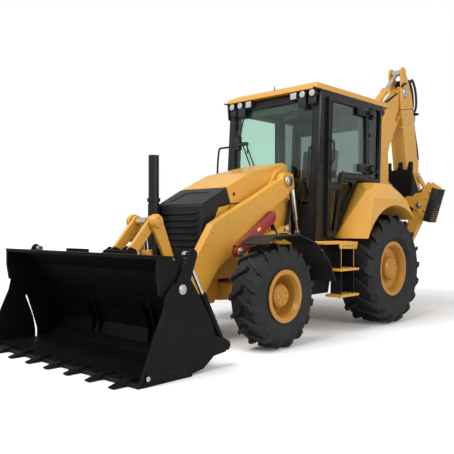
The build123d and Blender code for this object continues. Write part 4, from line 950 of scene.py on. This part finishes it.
def stabilizer_fittings():
    """Street pads' rubber blocks, pins and bolts."""
    for hand, word in ((LEFT, "left"), (RIGHT, "right")):
        def blocks(bm):
            # The pad's sole runs from its lower to its upper end; ribs lie across the machine's length.
            top, low = Vector((0, 1198, 1680)), Vector((0, 1064, 1236))
            way = (top - low).normalized()
            out = Vector((0, way.z, -way.y))
            for i in range(15):
                a = low + way * (12 + i * 31)
                b = a + way * 20
                corners = [a, b, b + out * 6, a + out * 6]
                plate(bm, [(-1206, hand * c.y, c.z) for c in corners], (192, 0, 0))
        build(f"{word}_pad_ribs", f"{word}_pad", HOSE_RUBBER, blocks, 1.5)

        def sole(bm):
            outline = [(1102, 1710), (1198, 1680), (1064, 1236), (966, 1264)]
            plate(bm, [(-1207, hand * y, z) for y, z in outline], (194, 0, 0))
        build(f"{word}_pad_sole", f"{word}_pad", HOSE_RUBBER, sole, 3)

        def pad_pins(bm):
            for x, way in ((-1194, -1), (-1026, 1)):
                pin_cap(bm, (x, hand * 904, 1475), (way, 0, 0), 40)
            for x, way in ((-1185, -1), (-1035, 1)):
                for y, z in ((1010, 1560), (980, 1400), (1060, 1650)):
                    bolt(bm, (x, hand * y, z), (way, 0, 0), 12)
        build(f"{word}_pad_pins", f"{word}_pad", STEEL, pad_pins, 1)

    def frame_pins(bm):
        for hand in (LEFT, RIGHT):
            pin_cap(bm, (-1200, hand * 430, 560), (-1, 0, 0), 40)
            pin_cap(bm, (-1200, hand * 140, 1540), (-1, 0, 0), 34)
    build("leg_pin_caps", "chassis", STEEL, frame_pins, 1.5)


def fender_fittings():
    """Rear road lamps on the fenders."""
    def boxes(bm):
        for hand in (LEFT, RIGHT):
            brick(bm, (-440, hand * 960 - 90, 1330), (-400, hand * 960 + 90, 1400))
    build("tail_lamp_boxes", "chassis", PLASTIC, boxes, 5)


# ---- floor, light and camera ----
def stage():
    bm = bmesh.new()
    bmesh.ops.create_grid(bm, x_segments=1, y_segments=1, size=60)
    mesh = bpy.data.meshes.new("floor")
    bm.to_mesh(mesh)
    bm.free()
    floor = bpy.data.objects.new("floor", mesh)
    bpy.context.scene.collection.objects.link(floor)
    floor.location.z = -0.001
    made = Finish("pale_floor", (0.62, 0.62, 0.62), 0.9)
    made.shader.inputs["Specular IOR Level"].default_value = 0.0
    path = made.nodes.new("ShaderNodeLightPath")
    made.shader.inputs["Emission Color"].default_value = (1, 1, 1, 1)
    seen = made.nodes.new("ShaderNodeMath")
    seen.operation = "MAXIMUM"
    made.links.new(path.outputs["Is Camera Ray"], seen.inputs[0])
    made.links.new(path.outputs["Is Transmission Ray"], seen.inputs[1])
    shade = made.nodes.new("ShaderNodeMapRange")
    shade.inputs["To Min"].default_value, shade.inputs["To Max"].default_value = 0.62, 0.95
    made.links.new(seen.outputs[0], shade.inputs["Value"])
    made.colour_from(shade.outputs["Result"])
    # The floor's glow is low near the machine, painted shade that deepens the machine's shadow, and rises to
    # plain white away from it.
    away = made.nodes.new("ShaderNodeVectorMath")
    away.operation = "LENGTH"
    made.links.new(made.place, away.inputs[0])
    painted_shade_by_distance = made.nodes.new("ShaderNodeMapRange")
    painted_shade_by_distance.interpolation_type = "SMOOTHSTEP"
    painted_shade_by_distance.inputs["From Min"].default_value, painted_shade_by_distance.inputs["From Max"].default_value = 3.0, 9.0
    painted_shade_by_distance.inputs["To Min"].default_value, painted_shade_by_distance.inputs["To Max"].default_value = 0.05, 0.75
    made.links.new(away.outputs["Value"], painted_shade_by_distance.inputs["Value"])
    level = made.nodes.new("ShaderNodeMath")
    level.operation = "MULTIPLY"
    made.links.new(seen.outputs[0], level.inputs[0])
    made.links.new(painted_shade_by_distance.outputs["Result"], level.inputs[1])
    made.links.new(level.outputs[0], made.shader.inputs["Emission Strength"])
    mesh.materials.append(made.material)

    world = bpy.data.worlds.new("studio")
    bpy.context.scene.world = world
    world.use_nodes = True
    nodes, links = world.node_tree.nodes, world.node_tree.links
    path = nodes.new("ShaderNodeLightPath")
    shown = nodes.new("ShaderNodeMath")
    shown.operation = "MAXIMUM"
    links.new(path.outputs["Is Camera Ray"], shown.inputs[0])
    links.new(path.outputs["Is Transmission Ray"], shown.inputs[1])
    mix = nodes.new("ShaderNodeMapRange")
    mix.inputs["To Min"].default_value, mix.inputs["To Max"].default_value = 0.62, 1.0
    links.new(shown.outputs[0], mix.inputs["Value"])
    links.new(mix.outputs["Result"], nodes["Background"].inputs["Strength"])
    nodes["Background"].inputs["Color"].default_value = (1, 1, 1, 1)

    for name, place, target, size, power in (
            ("key", (7.5, 0.0, 9.0), (0.5, 0, 1.2), 6.0, 900),
            ("side", (2.0, 11.0, 5.0), (0, 0, 1.3), 6.0, 520)):
        light = bpy.data.lights.new(name, "AREA")
        light.size = size
        light.energy = power
        lamp_object = bpy.data.objects.new(name, light)
        bpy.context.scene.collection.objects.link(lamp_object)
        lamp_object.location = place
        lamp_object.rotation_euler = (Vector(target) - Vector(place)).to_track_quat("-Z", "Y").to_euler()

    lens = bpy.data.cameras.new("view")
    lens.lens = 47.9
    lens.sensor_width = 36
    lens.shift_x, lens.shift_y = 0.0112, -0.002
    camera = bpy.data.objects.new("view", lens)
    bpy.context.scene.collection.objects.link(camera)
    camera.location = at(6808.5, 4619.7, 1160.0)
    camera.rotation_euler = (math.radians(90.2), 0, math.radians(133.4))
    bpy.context.scene.camera = camera
    bpy.context.scene.view_settings.view_transform = "Standard"


stage()
cad_finishes()
soften(4, "hood", "rear_fenders", "cab_roof", "cab_frame", "door_frame", "loader_arms", "boom", "stick",
       "stick_sleeve", "grille", "side_tanks", "steps", "tilt_levers", "bucket_links",
       "left_leg", "right_leg", "left_pad", "right_pad", "bucket_jaw", "hoe_bucket",
       "swing_casting", "backhoe_frame", "main_frame")
for make in (wheel_fittings, window_seals, door_fittings, cab_fittings, front_post_trim, roof_trim, interior,
             seat, hood_fittings, nose_fittings, frame_fittings, mudguard_fittings, step_fittings,
             tank_fittings, arm_fittings, tilt_fittings, bucket_fittings, rod_glands, boom_fittings,
             hoe_bucket_fittings, stabilizer_fittings, fender_fittings):
    make()
